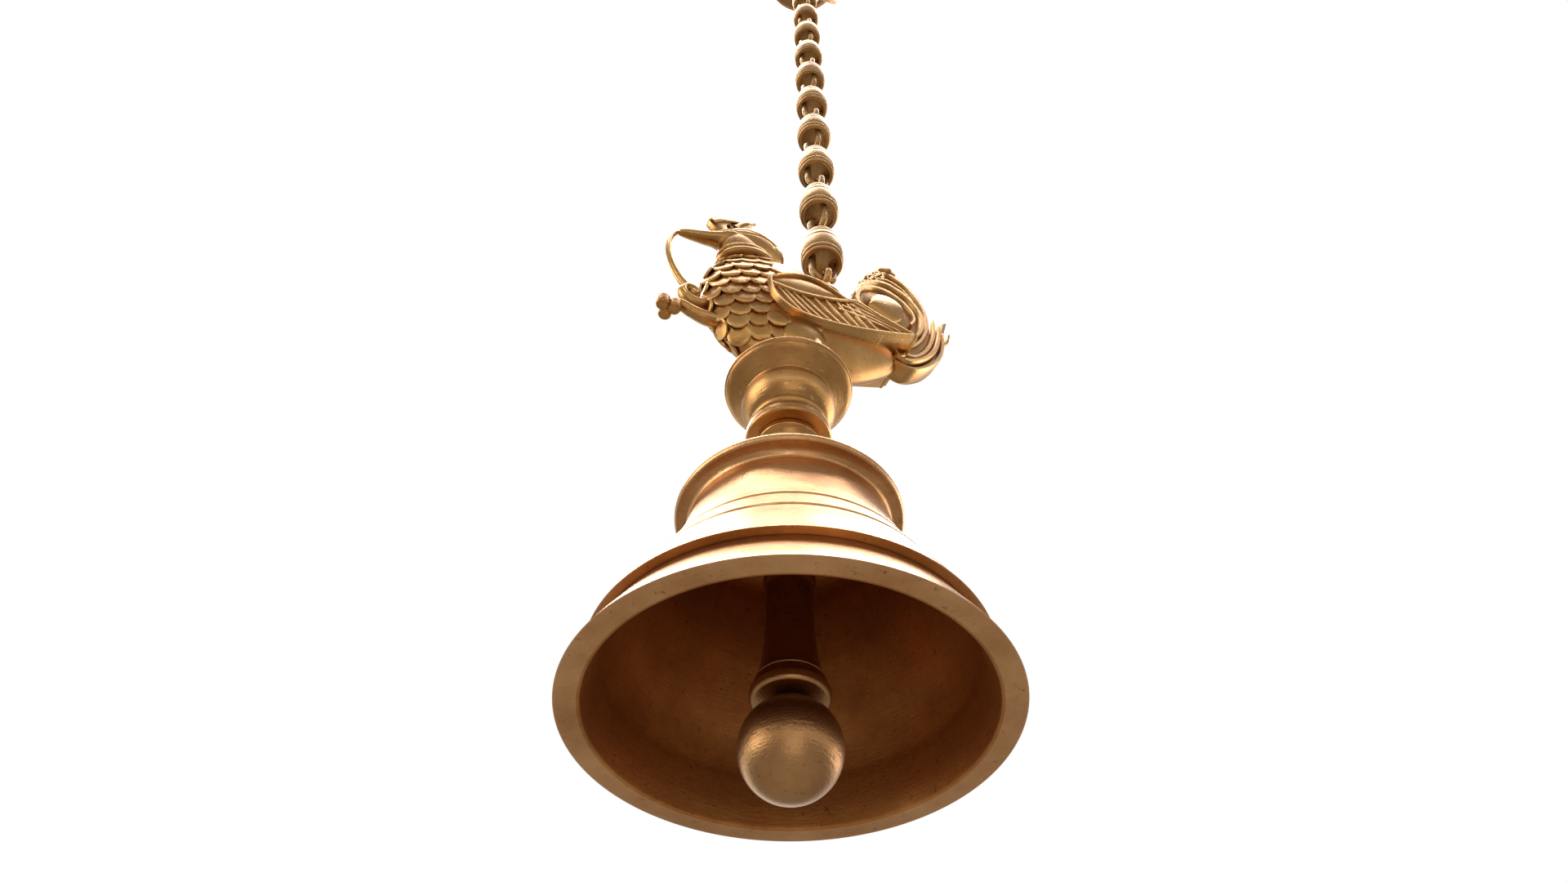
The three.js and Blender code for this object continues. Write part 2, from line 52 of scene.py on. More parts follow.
bell_low, bell_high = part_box("bell")
BELL_AXIS = np.array([(bell_low.x + bell_high.x) / 2, (bell_low.y + bell_high.y) / 2, bell_low.z])
CHAIN_AXIS = np.array([0.0, 0.0, bell_low.z])
CHAIN_OFFSET = -BELL_AXIS[0] / MM


def node(tree, kind, inputs=(), **settings):
    """Adds one shader node with these properties. Each input takes a value, a socket or a node's first output."""
    made = tree.nodes.new("ShaderNode" + kind)
    for key, value in settings.items():
        setattr(made, key, value)
    for socket, value in dict(inputs).items():
        if isinstance(value, bpy.types.Node):
            value = value.outputs[0]
        if isinstance(value, bpy.types.NodeSocket):
            tree.links.new(value, made.inputs[socket])
        else:
            made.inputs[socket].default_value = value
    return made


# ------------------------------------------------------------------------------
# The room: a pale floor well under the bell, daylight from every side and four soft lamps. The broad lamp
# overhead is only mirrored by the brass. The camera stands low and looks steeply up, past the bird.
scene = bpy.context.scene
scene.view_settings.view_transform = "Standard"
scene.view_settings.look = "None"

CAMERA_BELOW_RIM = 176.712
CAMERA_BACK = np.array([-115.8, -227.2])
LOOK_AZIMUTH = math.radians(26.54)
LOOK_UP = math.radians(51.364)
camera = bpy.data.objects.new("camera", bpy.data.cameras.new("camera"))
scene.collection.objects.link(camera)
camera.data.sensor_width = 36.0
camera.data.lens = 21.46
camera.data.clip_start = 0.01
camera.location = Vector(BELL_AXIS + MM * np.array([CAMERA_BACK[0], CAMERA_BACK[1], -CAMERA_BELOW_RIM]))
look = Vector((
    math.sin(LOOK_AZIMUTH) * math.cos(LOOK_UP), math.cos(LOOK_AZIMUTH) * math.cos(LOOK_UP), math.sin(LOOK_UP),
))
camera.rotation_euler = look.to_track_quat("-Z", "Y").to_euler()
scene.camera = camera

world = bpy.data.worlds.new("daylight")
scene.world = world
world.use_nodes = True
sky = world.node_tree
sky.nodes.clear()
direction = node(sky, "TexCoord").outputs["Generated"]
height = node(sky, "SeparateXYZ", {0: direction}).outputs["Z"]
glow = node(sky, "ValToRGB", {0: node(sky, "MapRange", {0: height, 1: -1.0, 2: 1.0})})
tones = glow.color_ramp.elements
tones[0].position, tones[0].color = 0.0, (0.13, 0.09, 0.07, 1)
tones[1].position, tones[1].color = 1.0, (0.40, 0.41, 0.42, 1)
for place, tone in (
    (0.40, (0.16, 0.12, 0.09, 1)), (0.48, (0.36, 0.31, 0.28, 1)),
    (0.53, (2.0, 1.95, 1.92, 1)), (0.62, (0.66, 0.65, 0.63, 1)),
):
    tones.new(place).color = tone
lit = node(sky, "Background", {0: glow, 1: 1.0})
seen = node(sky, "Background", {0: (1, 1, 1, 1), 1: 1.0})
path = node(sky, "LightPath")
both = node(sky, "MixShader", {0: path.outputs["Is Camera Ray"], 1: lit, 2: seen})
node(sky, "OutputWorld", {0: both})

FLOOR_DROP = 1.2
FLOOR_SIDE = 14.0
floor_mesh = bpy.data.meshes.new("floor")
floor_z = bell_low.z - FLOOR_DROP
floor_mesh.from_pydata(
    [(x * FLOOR_SIDE, y * FLOOR_SIDE, floor_z) for x, y in ((-1, -1), (1, -1), (1, 1), (-1, 1))],
    [], [(0, 1, 2, 3)])
floor = bpy.data.objects.new("floor", floor_mesh)
scene.collection.objects.link(floor)
plaster = bpy.data.materials.new("pale_floor")
plaster.use_nodes = True
plaster_inputs = plaster.node_tree.nodes["Principled BSDF"].inputs
plaster_inputs["Base Color"].default_value = (0.55, 0.50, 0.46, 1)
plaster_inputs["Roughness"].default_value = 0.9
floor.data.materials.append(plaster)


def soft_lamp(name, place, aim, side, power, tint):
    """A square soft box at place, in metres from the bell's rim, facing aim."""
    lamp = bpy.data.objects.new(name, bpy.data.lights.new(name, "AREA"))
    lamp.data.shape = "SQUARE"
    lamp.data.size = side
    lamp.data.energy = power
    lamp.data.color = tint
    lamp.location = Vector(BELL_AXIS) + Vector(place)
    lamp.rotation_euler = (Vector(aim) - Vector(place)).to_track_quat("-Z", "Y").to_euler()
    scene.collection.objects.link(lamp)
    lamp.visible_camera = False
    return lamp


soft_lamp("lamp_left", (-1.6, 0.2, 0.5), (0, 0, 0.15), 1.2, 13, (1.0, 0.97, 0.93))
soft_lamp("lamp_right", (1.7, 0.1, 0.6), (0, 0, 0.2), 1.2, 13, (1.0, 0.97, 0.94))
lamp_top = soft_lamp("lamp_top", (0.1, 0.5, 2.5), (0, 0, 0.1), 2.4, 145, (1.0, 0.98, 0.98))
lamp_top.visible_diffuse = False
soft_lamp("lamp_low", (-0.5, -1.4, -0.6), (0, 0, 0.1), 1.0, 2.5, (1.0, 0.92, 0.84))


# ------------------------------------------------------------------------------
# The bell: one brass casting, turned outside. Its lip is a flat ring worn bright, the skirt has a step, two
# grooves are cut above it, and a flange stands out under the crown that the bolt passes through.
def through(points, count):
    """A smooth line through a few points: the Catmull-Rom curve at count even steps of its parameter."""
    knots = np.asarray(points, float)
    knots = np.vstack([2 * knots[0] - knots[1], knots, 2 * knots[-1] - knots[-2]])
    step = np.linspace(0, len(points) - 1, count)
    first = np.minimum(step.astype(int), len(points) - 2)
    u = (step - first)[:, None]
    a, b, c, d = (knots[first + k] for k in range(4))
    return 0.5 * (2 * b + (c - a) * u + (2 * a - 5 * b + 4 * c - d) * u ** 2 + (3 * b - a - 3 * c + d) * u ** 3)


def eased(points, cut, steps=4):
    """The same outline with each corner replaced by a small parabola that starts and ends cut away from it."""
    p = np.asarray(points, float)
    back, on = p[:-2] - p[1:-1], p[2:] - p[1:-1]
    start = p[1:-1] + back * np.minimum(cut / np.maximum(np.linalg.norm(back, axis=1), 1e-9), 0.45)[:, None]
    end = p[1:-1] + on * np.minimum(cut / np.maximum(np.linalg.norm(on, axis=1), 1e-9), 0.45)[:, None]
    s = np.linspace(0, 1, steps)[None, :, None]
    arcs = (1 - s) ** 2 * start[:, None] + 2 * s * (1 - s) * p[1:-1, None] + s ** 2 * end[:, None]
    return np.vstack([p[:1], arcs.reshape(-1, p.shape[1]), p[-1:]])


def round_angles(count):
    """The angles of count even steps round a full turn."""
    return np.linspace(0, 2 * np.pi, count, endpoint=False)


def spun(profile, turns=96):
    """The profile of [radius, height] turned about the vertical axis: (r cos a, r sin a, z)."""
    a = round_angles(turns)
    r, z = profile[:, :1], profile[:, 1:]
    return np.stack([r * np.cos(a), r * np.sin(a), z + 0 * a], axis=-1)


def skin(grid, ring=False, start=None):
    """Vertices and faces of a tube given as rows of points round it. ring joins the last row to the first;
    otherwise each end is closed by a fan to its middle, or at the first row to the given start point."""
    rows, cols = grid.shape[:2]
    last = rows if ring else rows - 1
    i, j = np.meshgrid(np.arange(last), np.arange(cols), indexing="ij")
    up, side = (i + 1) % rows, (j + 1) % cols
    quads = np.stack([i * cols + j, i * cols + side, up * cols + side, up * cols + j], -1).reshape(-1, 4)
    points, faces = grid.reshape(-1, 3), quads.tolist()
    if not ring:
        around = np.arange(cols)
        following = (around + 1) % cols
        base = rows * cols
        tips = [grid[0].mean(0) if start is None else start, grid[-1].mean(0)]
        points = np.vstack([points, tips])
        top = (rows - 1) * cols
        faces += np.stack([following, around, np.full(cols, base)], -1).tolist()
        faces += np.stack([top + around, top + following, np.full(cols, base + 1)], -1).tolist()
    return points, faces


def joined(skins):
    """Several closed skins as one list of points and faces."""
    points, faces, count = [], [], 0
    for some, shape in skins:
        points.append(some)
        faces += [[corner + count for corner in face] for face in shape]
        count += len(some)
    return np.vstack(points), faces


CREASE = math.radians(42)


def piece(name, shape, material, axis, smooth=True):
    """A mesh object from points in millimetres about the given axis, with outward faces and sharp creases."""
    points, faces = shape
    mesh = bpy.data.meshes.new(name)
    mesh.from_pydata((np.asarray(points) * MM + axis).tolist(), [], faces)
    mesh.update()
    work = bmesh.new()
    work.from_mesh(mesh)
    bmesh.ops.recalc_face_normals(work, faces=work.faces[:])
    work.to_mesh(mesh)
    work.free()
    mesh.update()
    mesh.polygons.foreach_set("use_smooth", np.full(len(mesh.polygons), smooth))
    mesh.set_sharp_from_angle(angle=CREASE)
    made = bpy.data.objects.new(name, mesh)
    scene.collection.objects.link(made)
    mesh.materials.append(material)
    return made


def settle(made, body, slot, *nodes):
    """Fixes a finished piece to its body and hides the plain solids that it stands for. The slot is not used."""
    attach(made, body)
    if nodes:
        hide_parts(*nodes)


STAIN, HOLLOW_DARKENING, WORN = (0.45, 0.36, 0.3), (0.34, 0.24, 0.18), (1.3, 1.45, 1.7)


def aged_brass(name, bright, dark, rough, grain=1.0, wear=0.5, turned=0.0):
    """Cast brass. Colour drifts between bright and dark patches, darkens in hollows and brightens on worn edges;
    bump adds casting grain, pits and scratches, and fine tool lines across the axis where turned is over 0."""
    made = bpy.data.materials.new(name)
    made.use_nodes = True
    tree = made.node_tree
    shader = tree.nodes["Principled BSDF"].inputs
    shader["Metallic"].default_value = 1.0
    place = node(tree, "TexCoord").outputs["Object"]

    def between(value, low, high, first=0.0, last=1.0):
        """The value stretched so that low becomes first and high becomes last."""
        return node(tree, "MapRange", {0: value, 1: low, 2: high, 3: first, 4: last})

    def laid_over(share, under, colour):
        """A colour laid over another where share is 1."""
        return node(tree, "Mix", {0: share, 6: under, 7: (*colour, 1)}, data_type="RGBA").outputs[2]

    patches = node(tree, "TexNoise", {"Vector": place, "Scale": 26.0, "Detail": 6.0, "Roughness": 0.62})
    specks = node(tree, "TexNoise", {"Vector": place, "Scale": 420.0 * grain, "Detail": 3.0, "Roughness": 0.7})
    curve = node(tree, "NewGeometry").outputs["Pointiness"]
    tone = laid_over(between(patches, 0.36, 0.66), (*dark, 1), bright)
    tone = laid_over(between(specks, 0.62, 0.78), tone, np.multiply(dark, STAIN))
    # Darker in hollows, where the surface curves inward.
    tone = laid_over(between(curve, 0.49, 0.43), tone, np.multiply(dark, HOLLOW_DARKENING))
    tone = laid_over(between(curve, 0.52, 0.60, last=wear), tone, np.minimum(1, np.multiply(bright, WORN)))
    tree.links.new(tone, shader["Base Color"])
    gloss = between(patches, 0.3, 0.7, rough * 1.25, rough * 0.8)
    tree.links.new(gloss.outputs[0], shader["Roughness"])
    cast = node(tree, "TexNoise", {"Vector": place, "Scale": 1300.0 * grain, "Detail": 4.0})
    pits = node(tree, "TexVoronoi", {"Vector": place, "Scale": 300.0 * grain})
    streak_space = node(tree, "Mapping", {"Vector": place, "Scale": (1.0, 1.0, 9.0), "Rotation": (0.5, 0.35, 0.2)})
    streaks = node(tree, "TexNoise", {"Vector": streak_space, "Scale": 150.0, "Detail": 5.0})
    bumps = [(cast, 0.22, 0.0004 / grain), (between(pits, 0.05, 0.22), 0.25, 0.0002), (streaks, 0.12, 0.0008)]
    if turned > 0:
        along = node(tree, "CombineXYZ", {2: node(tree, "SeparateXYZ", {0: place}).outputs["Z"]})
        lines = node(tree, "TexNoise", {"Vector": along, "Scale": 900.0, "Detail": 4.0, "Roughness": 0.7})
        bumps.append((lines, turned, 0.0005))
    under = {}
    for rise, strength, distance in bumps:
        bump = {"Height": rise, "Strength": strength, "Distance": distance, **under}
        under = {"Normal": node(tree, "Bump", bump)}
    tree.links.new(under["Normal"].outputs[0], shader["Normal"])
    return made


bell_brass = aged_brass("bell_brass", (0.70, 0.40, 0.18), (0.48, 0.235, 0.09), 0.32, wear=0.7, turned=0.10)
BORE = 6

skirt_below_step = through([(75, 0), (73.2, 3.4), (71.0, 7.0), (68.3, 11.6), (66.4, 15.0), (65.5, 17.2)], 14)
skirt_above_step = through([
    (69, 17.5), (67.2, 20.6), (65.4, 24.0), (61.5, 31.0), (57.8, 37.2), (56.1, 40.2),
], 12)
lower_groove = [(55.6, 41.0), (54.5, 41.5), (54.4, 42.1), (54.9, 42.8)]
between_grooves = through([(54.7, 43.2), (52.0, 48.2), (49.7, 52.4)], 8)
upper_groove = [(49.2, 53.4), (48.1, 53.9), (48.0, 54.6), (48.4, 55.2)]
waist = through([(48.2, 55.8), (46.0, 60.5), (42.5, 70.0), (40.2, 80.0), (39.0, 84.2)], 16)
shoulder = through([(39.2, 85.6), (40.4, 87.0), (42.4, 87.7), (44.3, 87.9)], 7)
flange = [(45.0, 88.9), (45.1, 90.4), (44.4, 91.4)]
crown = through([(42.8, 91.8), (34, 95.6), (26, 101.6), (19, 107), (13.6, 112.4)], 14)
inside = through([
    (15, 107.4), (28.5, 97.2), (36.4, 89), (38.0, 79), (40.4, 69.4), (44.1, 59), (46.9, 52.8),
    (53.5, 39.8), (59.2, 29.6), (62.4, 21), (63.4, 15), (64.8, 7), (66.6, 0.3),
], 48)
bell_profile = eased(np.vstack([
    skirt_below_step, skirt_above_step, lower_groove, between_grooves, upper_groove, waist, shoulder, flange,
    crown, [(12.5, 112.7), (BORE, 112.7), (BORE, 109.6)], inside, [(67.2, 0.0), (74.4, 0.0)],
]), 0.45, 3)
bell = piece("bell_body", skin(spun(bell_profile, 144), ring=True), bell_brass, BELL_AXIS)

# Painted shade: inside, below the crown, the faces that look towards the axis take a darker and rougher copy of the
# brass.
INSIDE_HEIGHT = 110
bell.data.materials.append(
    aged_brass("inside_brass_painted_shade", (0.58, 0.265, 0.08), (0.37, 0.14, 0.036), 0.5, wear=0.1))
sides = bell.data.polygons
middle, facing = np.empty(len(sides) * 3), np.empty(len(sides) * 3)
sides.foreach_get("center", middle)
sides.foreach_get("normal", facing)
middle, facing = middle.reshape(-1, 3) - BELL_AXIS, facing.reshape(-1, 3)
inward = (np.sum(middle[:, :2] * facing[:, :2], axis=1) < 0) & (middle[:, 2] < INSIDE_HEIGHT * MM)
sides.foreach_set("material_index", inward.astype(np.int32))
settle(bell, "bird_and_bell", "bell_brass", "bell")

# ------------------------------------------------------------------------------
# The stand between bell and bird: a waisted spool, a plain disc, a thin ring and a flared cup, all turned
# brass threaded on one long bolt. The cup is closed by the plate that the bird stands on.
stand_brass = aged_brass(
    "stand_brass", (0.60, 0.34, 0.125), (0.42, 0.21, 0.07), 0.29, grain=1.3, wear=0.6, turned=0.06)


def stand_piece(name, profile, turns, node_name):
    """One turned ring of the stand, from its closed profile."""
    made = piece(name, skin(spun(profile, turns), ring=True), stand_brass, BELL_AXIS)
    settle(made, "bird_and_bell", "bell_brass", node_name)


def turned_piece(name, outline, turns=96, cut=0.4):
    """A ring of the given outside, bored through for the bolt."""
    profile = np.vstack([[(BORE, outline[0][1])], outline, [(BORE, outline[-1][1])]])
    stand_piece(name, eased(profile, cut), turns, name.replace("turned_", ""))


spool_waist = through([
    (13.9, 116.2), (11.2, 118.6), (9.6, 123), (9.3, 127), (9.6, 131), (11.2, 135.4), (13.9, 137.8),
], 24)
turned_piece("turned_neck_spool", np.vstack([[(13.4, 113)], spool_waist, [(13.6, 141)]]))
turned_piece("turned_neck_disc", np.vstack([
    [(18.2, 141.3), (18.85, 142.2), (18.85, 145.6), (18.2, 146.4), (17.0, 146.6), (16.9, 147.5)],
]), 120, 0.35)
turned_piece("turned_thin_ring", np.vstack([
    [(14.6, 147.8), (14.9, 149.0)], through([(15.4, 149.6), (16.9, 150.6), (17.4, 152.2), (16.9, 153.8)], 10),
    [(16.0, 154.6)],
]), 120, 0.3)

cup_outside = np.vstack([
    [(12, 154.9), (14.4, 155.0)],
    through([(15.6, 155.6), (18.2, 157.8), (20.6, 161.4), (21.6, 165.2), (21.3, 168.2), (20.5, 170.0)], 22),
    [(20.5, 170.6)],
    through([(21.0, 171.0), (22.8, 172.3), (25.2, 173.9), (27.6, 175.4), (29.0, 176.6)], 14),
    [(29.3, 177.0), (29.0, 177.7), (29.1, 178.4), (29.9, 178.9), (30.0, 179.9), (29.6, 180.6)],
])
cup_inside = [
    (27.4, 180.6), (27.3, 177.1), (20.4, 173.8), (17.6, 171), (18.6, 166.4), (18, 163.4), (15.6, 159.4),
    (13.5, 157.6), (BORE, 157.6), (BORE, 154.9),
]
stand_piece("flared_cup", eased(np.vstack([cup_outside, cup_inside]), 0.3), 144, "cup")
stand_piece("cup_plate", eased([
    (BORE, 178.2), (26.2, 178.2), (27, 178.8), (27, 180.2), (26.4, 180.8), (BORE, 180.8),
], 0.4), 96, "perch_plate")

# ------------------------------------------------------------------------------
# The clapper: a turned rod with a drooping collar and a solid ball, hung by its eye from a wire ring, which
# hangs in the eye of the long bolt.
clapper_brass = aged_brass(
    "clapper_brass", (0.52, 0.30, 0.13), (0.34, 0.17, 0.066), 0.34, grain=0.9, wear=0.6, turned=0.08)
fitting_brass = aged_brass("fitting_brass", (0.50, 0.29, 0.13), (0.32, 0.16, 0.065), 0.42, wear=0.5)
EYE_HEIGHT, EYE_RADIUS, EYE_WIRE = 95.0, 6.2, 4.4
PLAY = 0.3  # how far two wires that hang in each other are drawn apart
RING_RADIUS = 7.0
RING_HEIGHT = EYE_HEIGHT - EYE_RADIUS + EYE_WIRE + PLAY - RING_RADIUS
CLAPPER_EYE = RING_HEIGHT - RING_RADIUS + EYE_WIRE + PLAY - EYE_RADIUS


def wire_ring(radius, wire, height, lengthwise):
    """A closed wire ring standing upright: ((R + r cos b) cos a, r sin b, (R + r cos b) sin a), or turned
    across."""
    a, b = np.meshgrid(round_angles(64), round_angles(20), indexing="ij")
    out = radius + wire / 2 * np.cos(b)
    flat, rise, thick = out * np.cos(a), height + out * np.sin(a), wire / 2 * np.sin(b)
    return skin(np.stack([flat, thick, rise] if lengthwise else [thick, flat, rise], -1), ring=True)


bolt_profile = eased([(3.4, EYE_HEIGHT + 5), (4.0, EYE_HEIGHT + 7), (5.6, EYE_HEIGHT + 9.5), (5.6, 168),
                               (4.8, 169)], 0.5)
bolt = piece("long_eye_bolt", joined([
    skin(spun(bolt_profile, 48)), wire_ring(EYE_RADIUS, EYE_WIRE, EYE_HEIGHT, False),
]), fitting_brass, BELL_AXIS)
settle(bolt, "bird_and_bell", "fitting_brass", "eye_bolt")

hexagon = round_angles(6)
nut_rows = [(10.3, 158), (11, 158.8), (11, 164.2), (10.3, 165), (5.9, 165), (5.9, 158)]
nut_grid = np.stack([
    np.stack([r * np.sin(hexagon), r * np.cos(hexagon), 0 * hexagon + z], -1) for r, z in nut_rows])
nut = piece("bolt_hex_nut", skin(nut_grid, ring=True), fitting_brass, BELL_AXIS, smooth=False)
settle(nut, "bird_and_bell", "fitting_brass", "bolt_nut")

hanger_ring = wire_ring(RING_RADIUS, EYE_WIRE, RING_HEIGHT, True)
hanger = piece("clapper_wire_ring", hanger_ring, clapper_brass, BELL_AXIS)
settle(hanger, "clapper_hanger", "clapper_brass", "clapper_ring")

shaft_side = through([(12.0, 14.6), (10.9, 17.0), (9.9, 23), (9.1, 31), (8.7, 39), (8.6, 48), (8.7, 55)], 26)
shaft_profile = eased(np.vstack([
    [(11.6, 14.3)], shaft_side, [(9.7, 57.6), (9.7, 60.4), (8.6, 62.2), (4.8, 66), (3.6, 70.5)],
]), 0.5)
shaft = piece("clapper_shaft", joined([
    skin(spun(shaft_profile, 72)), wire_ring(EYE_RADIUS, EYE_WIRE, CLAPPER_EYE, False),
]), clapper_brass, BELL_AXIS)
settle(shaft, "clapper", "clapper_brass", "clapper_rod")

collar_profile = eased([
    (10.4, 6.5), (12.6, 6.6), (13.5, 7.6), (13.6, 10.2), (12.9, 11.6), (12.2, 13.9),
], 0.5)
collar = piece("clapper_band", skin(spun(collar_profile, 96)), clapper_brass, BELL_AXIS)
settle(collar, "clapper", "clapper_brass", "clapper_collar")

BALL_RADIUS, BALL_HEIGHT, BALL_CUT = 16.8, -10.4, 6.0
lean = np.linspace(-np.pi / 2 + 0.04, np.arccos(0.19) - 0.19, 60)
lean = lean[np.sin(lean) * BALL_RADIUS + BALL_HEIGHT < BALL_CUT]
ball_profile = np.stack([BALL_RADIUS * np.cos(lean), BALL_HEIGHT + BALL_RADIUS * np.sin(lean)], -1)
ball = piece("clapper_striking_ball", skin(spun(ball_profile, 96), start=(0, 0, BALL_HEIGHT - BALL_RADIUS)),
             clapper_brass, BELL_AXIS)
settle(ball, "clapper", "clapper_brass", "clapper_ball")

# ------------------------------------------------------------------------------
# The bird's body: one brass casting, an egg drawn out towards the tail, cut level under the neck, with a
# rounded thigh on each side. It stands on a squared post and two legs inside the cup's plate.
bird_brass = aged_brass("bird_brass", (0.54, 0.295, 0.096), (0.35, 0.162, 0.046), 0.32, grain=1.2, wear=0.8)
BODY_MIDDLE, BODY_HALF_LENGTH = 9.25, 56.75
NECK_CENTRE = np.array([-25.0, 0.0, 282.2])
NECK_TILT = 0.33
NECK_UP = np.array([-math.sin(NECK_TILT), 0.0, math.cos(NECK_TILT)])


def egg_measures(a):
    """Half width, middle height and half height of the body at a, which runs from -1 at the breast to 1."""
    rear = np.maximum(a, 0)
    return 16.2 - 2.6 * a, 243 + 2 * a, 47 - 12 * a - 10 * rear ** 2


def outside_egg(points):
    """Over 0 outside the body's egg and under 0 inside it: a^2 + (y / half width)^2 + (rise / half height)^2 - 1."""
    a = (points[..., 0] - BODY_MIDDLE) / BODY_HALF_LENGTH
    wide, middle, tall = egg_measures(np.clip(a, -1, 1))
    return a ** 2 + (points[..., 1] / wide) ** 2 + ((points[..., 2] - middle) / tall) ** 2 - 1


def egg_slope(points):
    """Outward unit normal of the egg near each point, by central differences of outside_egg."""
    step = 0.05 * np.eye(3)
    slope = np.stack([outside_egg(points + d) - outside_egg(points - d) for d in step], -1)
    return slope / np.linalg.norm(slope, axis=-1, keepdims=True)


def oval(middle, half, rows=24, cols=32):
    """An ellipsoid with its poles along the bird: middle + half * (-cos v, sin v cos u, sin v sin u)."""
    v, u = np.meshgrid(np.linspace(0.05, np.pi - 0.05, rows), round_angles(cols), indexing="ij")
    unit = np.stack([-np.cos(v), np.sin(v) * np.cos(u), np.sin(v) * np.sin(u)], -1)
    return skin(np.asarray(middle) + np.asarray(half) * unit)


def bird_piece(name, skins, *nodes):
    """One piece of the bird, cast from closed skins, which stands for the given plain solids."""
    made = piece(name, joined(skins), bird_brass, BELL_AXIS)
    settle(made, "bird_and_bell", "bird_brass", *nodes)


a, u = np.meshgrid(-np.cos(np.linspace(0.03, np.pi - 0.03, 110)), round_angles(120), indexing="ij")
wide, middle, tall = egg_measures(a)
ringed = np.sqrt(1 - a ** 2)
egg = np.stack([
    BODY_MIDDLE + BODY_HALF_LENGTH * a, wide * ringed * np.cos(u), middle + tall * ringed * np.sin(u),
], -1)
above_neck = np.maximum((egg - NECK_CENTRE) @ NECK_UP, 0)
egg -= above_neck[..., None] * NECK_UP
thighs = [oval((3, side * 10.5, 212), (13, 6.4, 14)) for side in (-1, 1)]
bird_piece("bird_torso", [skin(egg), *thighs], "bird_body")


def tube(path, radius, cols=14, squash=1.0):
    """A bar along path with round ends: each ring is radius * (cos b * sideways + squash * sin b * across), where
    sideways is the bird's y axis and across lies in the middle plane, square to the path."""
    path = np.asarray(path, float)
    radius = np.broadcast_to(np.asarray(radius, float), (len(path),))
    along = np.gradient(path, axis=0)
    along /= np.linalg.norm(along, axis=1, keepdims=True)
    sideways = np.tile([0.0, 1.0, 0.0], (len(path), 1))
    sideways -= along * np.sum(along * sideways, axis=1, keepdims=True)
    sideways /= np.linalg.norm(sideways, axis=1, keepdims=True)
    across = np.cross(along, sideways)
    cap = np.sin(np.linspace(0.25, np.pi / 2, 4))
    lift = np.cos(np.linspace(0.25, np.pi / 2, 4))
    rows = [(path[0] - along[0] * radius[0] * h, 0, radius[0] * c) for c, h in zip(cap[:-1], lift[:-1])]
    rows += [(path[k], k, radius[k]) for k in range(len(path))]
    rows += [(path[-1] + along[-1] * radius[-1] * h, -1, radius[-1] * c)
             for c, h in zip(cap[-2::-1], lift[-2::-1])]
    b = round_angles(cols)[:, None]
    return skin(np.stack([
        middle + r * (np.cos(b) * sideways[k] + squash * np.sin(b) * across[k]) for middle, k, r in rows]))


for side, name in ((-1, "left"), (1, "right")):
    shin = through([
        (8, side * 9.0, 216), (8, side * 14.0, 207), (7.4, side * 16.6, 196), (5.6, side * 16.6, 184.4),
    ], 24)
    toe_ring = through([(7.5, side * 16.7, 196.6), (7.2, side * 16.8, 194.8)], 4)
    foot = [(1.5, side * 16.6, 183.2), (9.5, side * 16.8, 183.2)]
    bird_piece("bird_leg_" + name, [tube(shin, 2.8), tube(toe_ring, 3.6), tube(foot, 2.2)], "leg_" + name)

corner = round_angles(48)
squared = np.stack([np.sign(np.cos(corner)) * np.abs(np.cos(corner)) ** 0.35,
                    np.sign(np.sin(corner)) * np.abs(np.sin(corner)) ** 0.35], -1)
post_rows = eased([(0.9, 181.2), (1.0, 182.2), (1.0, 187), (0.86, 189), (0.86, 206)], 0.6)
post_grid = np.stack([np.column_stack([-4 + 13 * k * squared[:, 0], 9.5 * k * squared[:, 1], 0 * corner + z])
                      for k, z in post_rows])
bird_piece("bird_post", [skin(post_grid)], "perch_block")

# ------------------------------------------------------------------------------
# The breast feathers: flat round scales in staggered rows down from the neck, each row square to the neck.
# They are cast with the body; every scale is sunk at its root and stands off at its lower edge.
SCALE_RADIUS, SCALE_STEP = 5.7, 10.0
ROWS, FIRST_ROW, ROW_STEP = 12, 6.8, 7.5
OUTSIDE = 110.0
NARROW = 0.86  # the two rows next to the neck are this much smaller
NECK_FRONT = np.array([-math.cos(NECK_TILT), 0.0, -math.sin(NECK_TILT)])
ASIDE = np.array([0.0, 1.0, 0.0])


def row_on_egg(down, angles):
    """Points where rays from the neck's axis, at this depth below the neck, leave the egg (found by halving)."""
    origin = NECK_CENTRE - NECK_UP * down
    ray = np.cos(angles)[:, None] * NECK_FRONT + np.sin(angles)[:, None] * ASIDE
    near, far = np.zeros(len(angles)), np.full(len(angles), OUTSIDE)
    for _ in range(40):
        half = (near + far) / 2
        inside = outside_egg(origin + half[:, None] * ray) < 0
        near, far = np.where(inside, half, near), np.where(inside, far, half)
    return origin + near[:, None] * ray


def scale_disc(point, normal, radius, tip):
    """A thin round plate on the surface at point. Its free edge points away from the neck, lifted by tip."""
    down = -NECK_UP + normal * (NECK_UP @ normal)
    down /= np.linalg.norm(down)
    across = np.cross(normal, down)
    b = round_angles(20)
    drop, reach = np.cos(b) * radius, np.sin(b) * radius
    lift = 0.1 + tip * (drop / radius + 1) / 2
    rings = [(0.97, lift - 1.3), (1.0, lift - 0.25), (0.95, lift), (0.55, lift * 0.94 + 0.1)]
    return skin(np.stack([
        point + k * drop[:, None] * down + k * reach[:, None] * across + h[:, None] * normal
        for k, h in rings]))


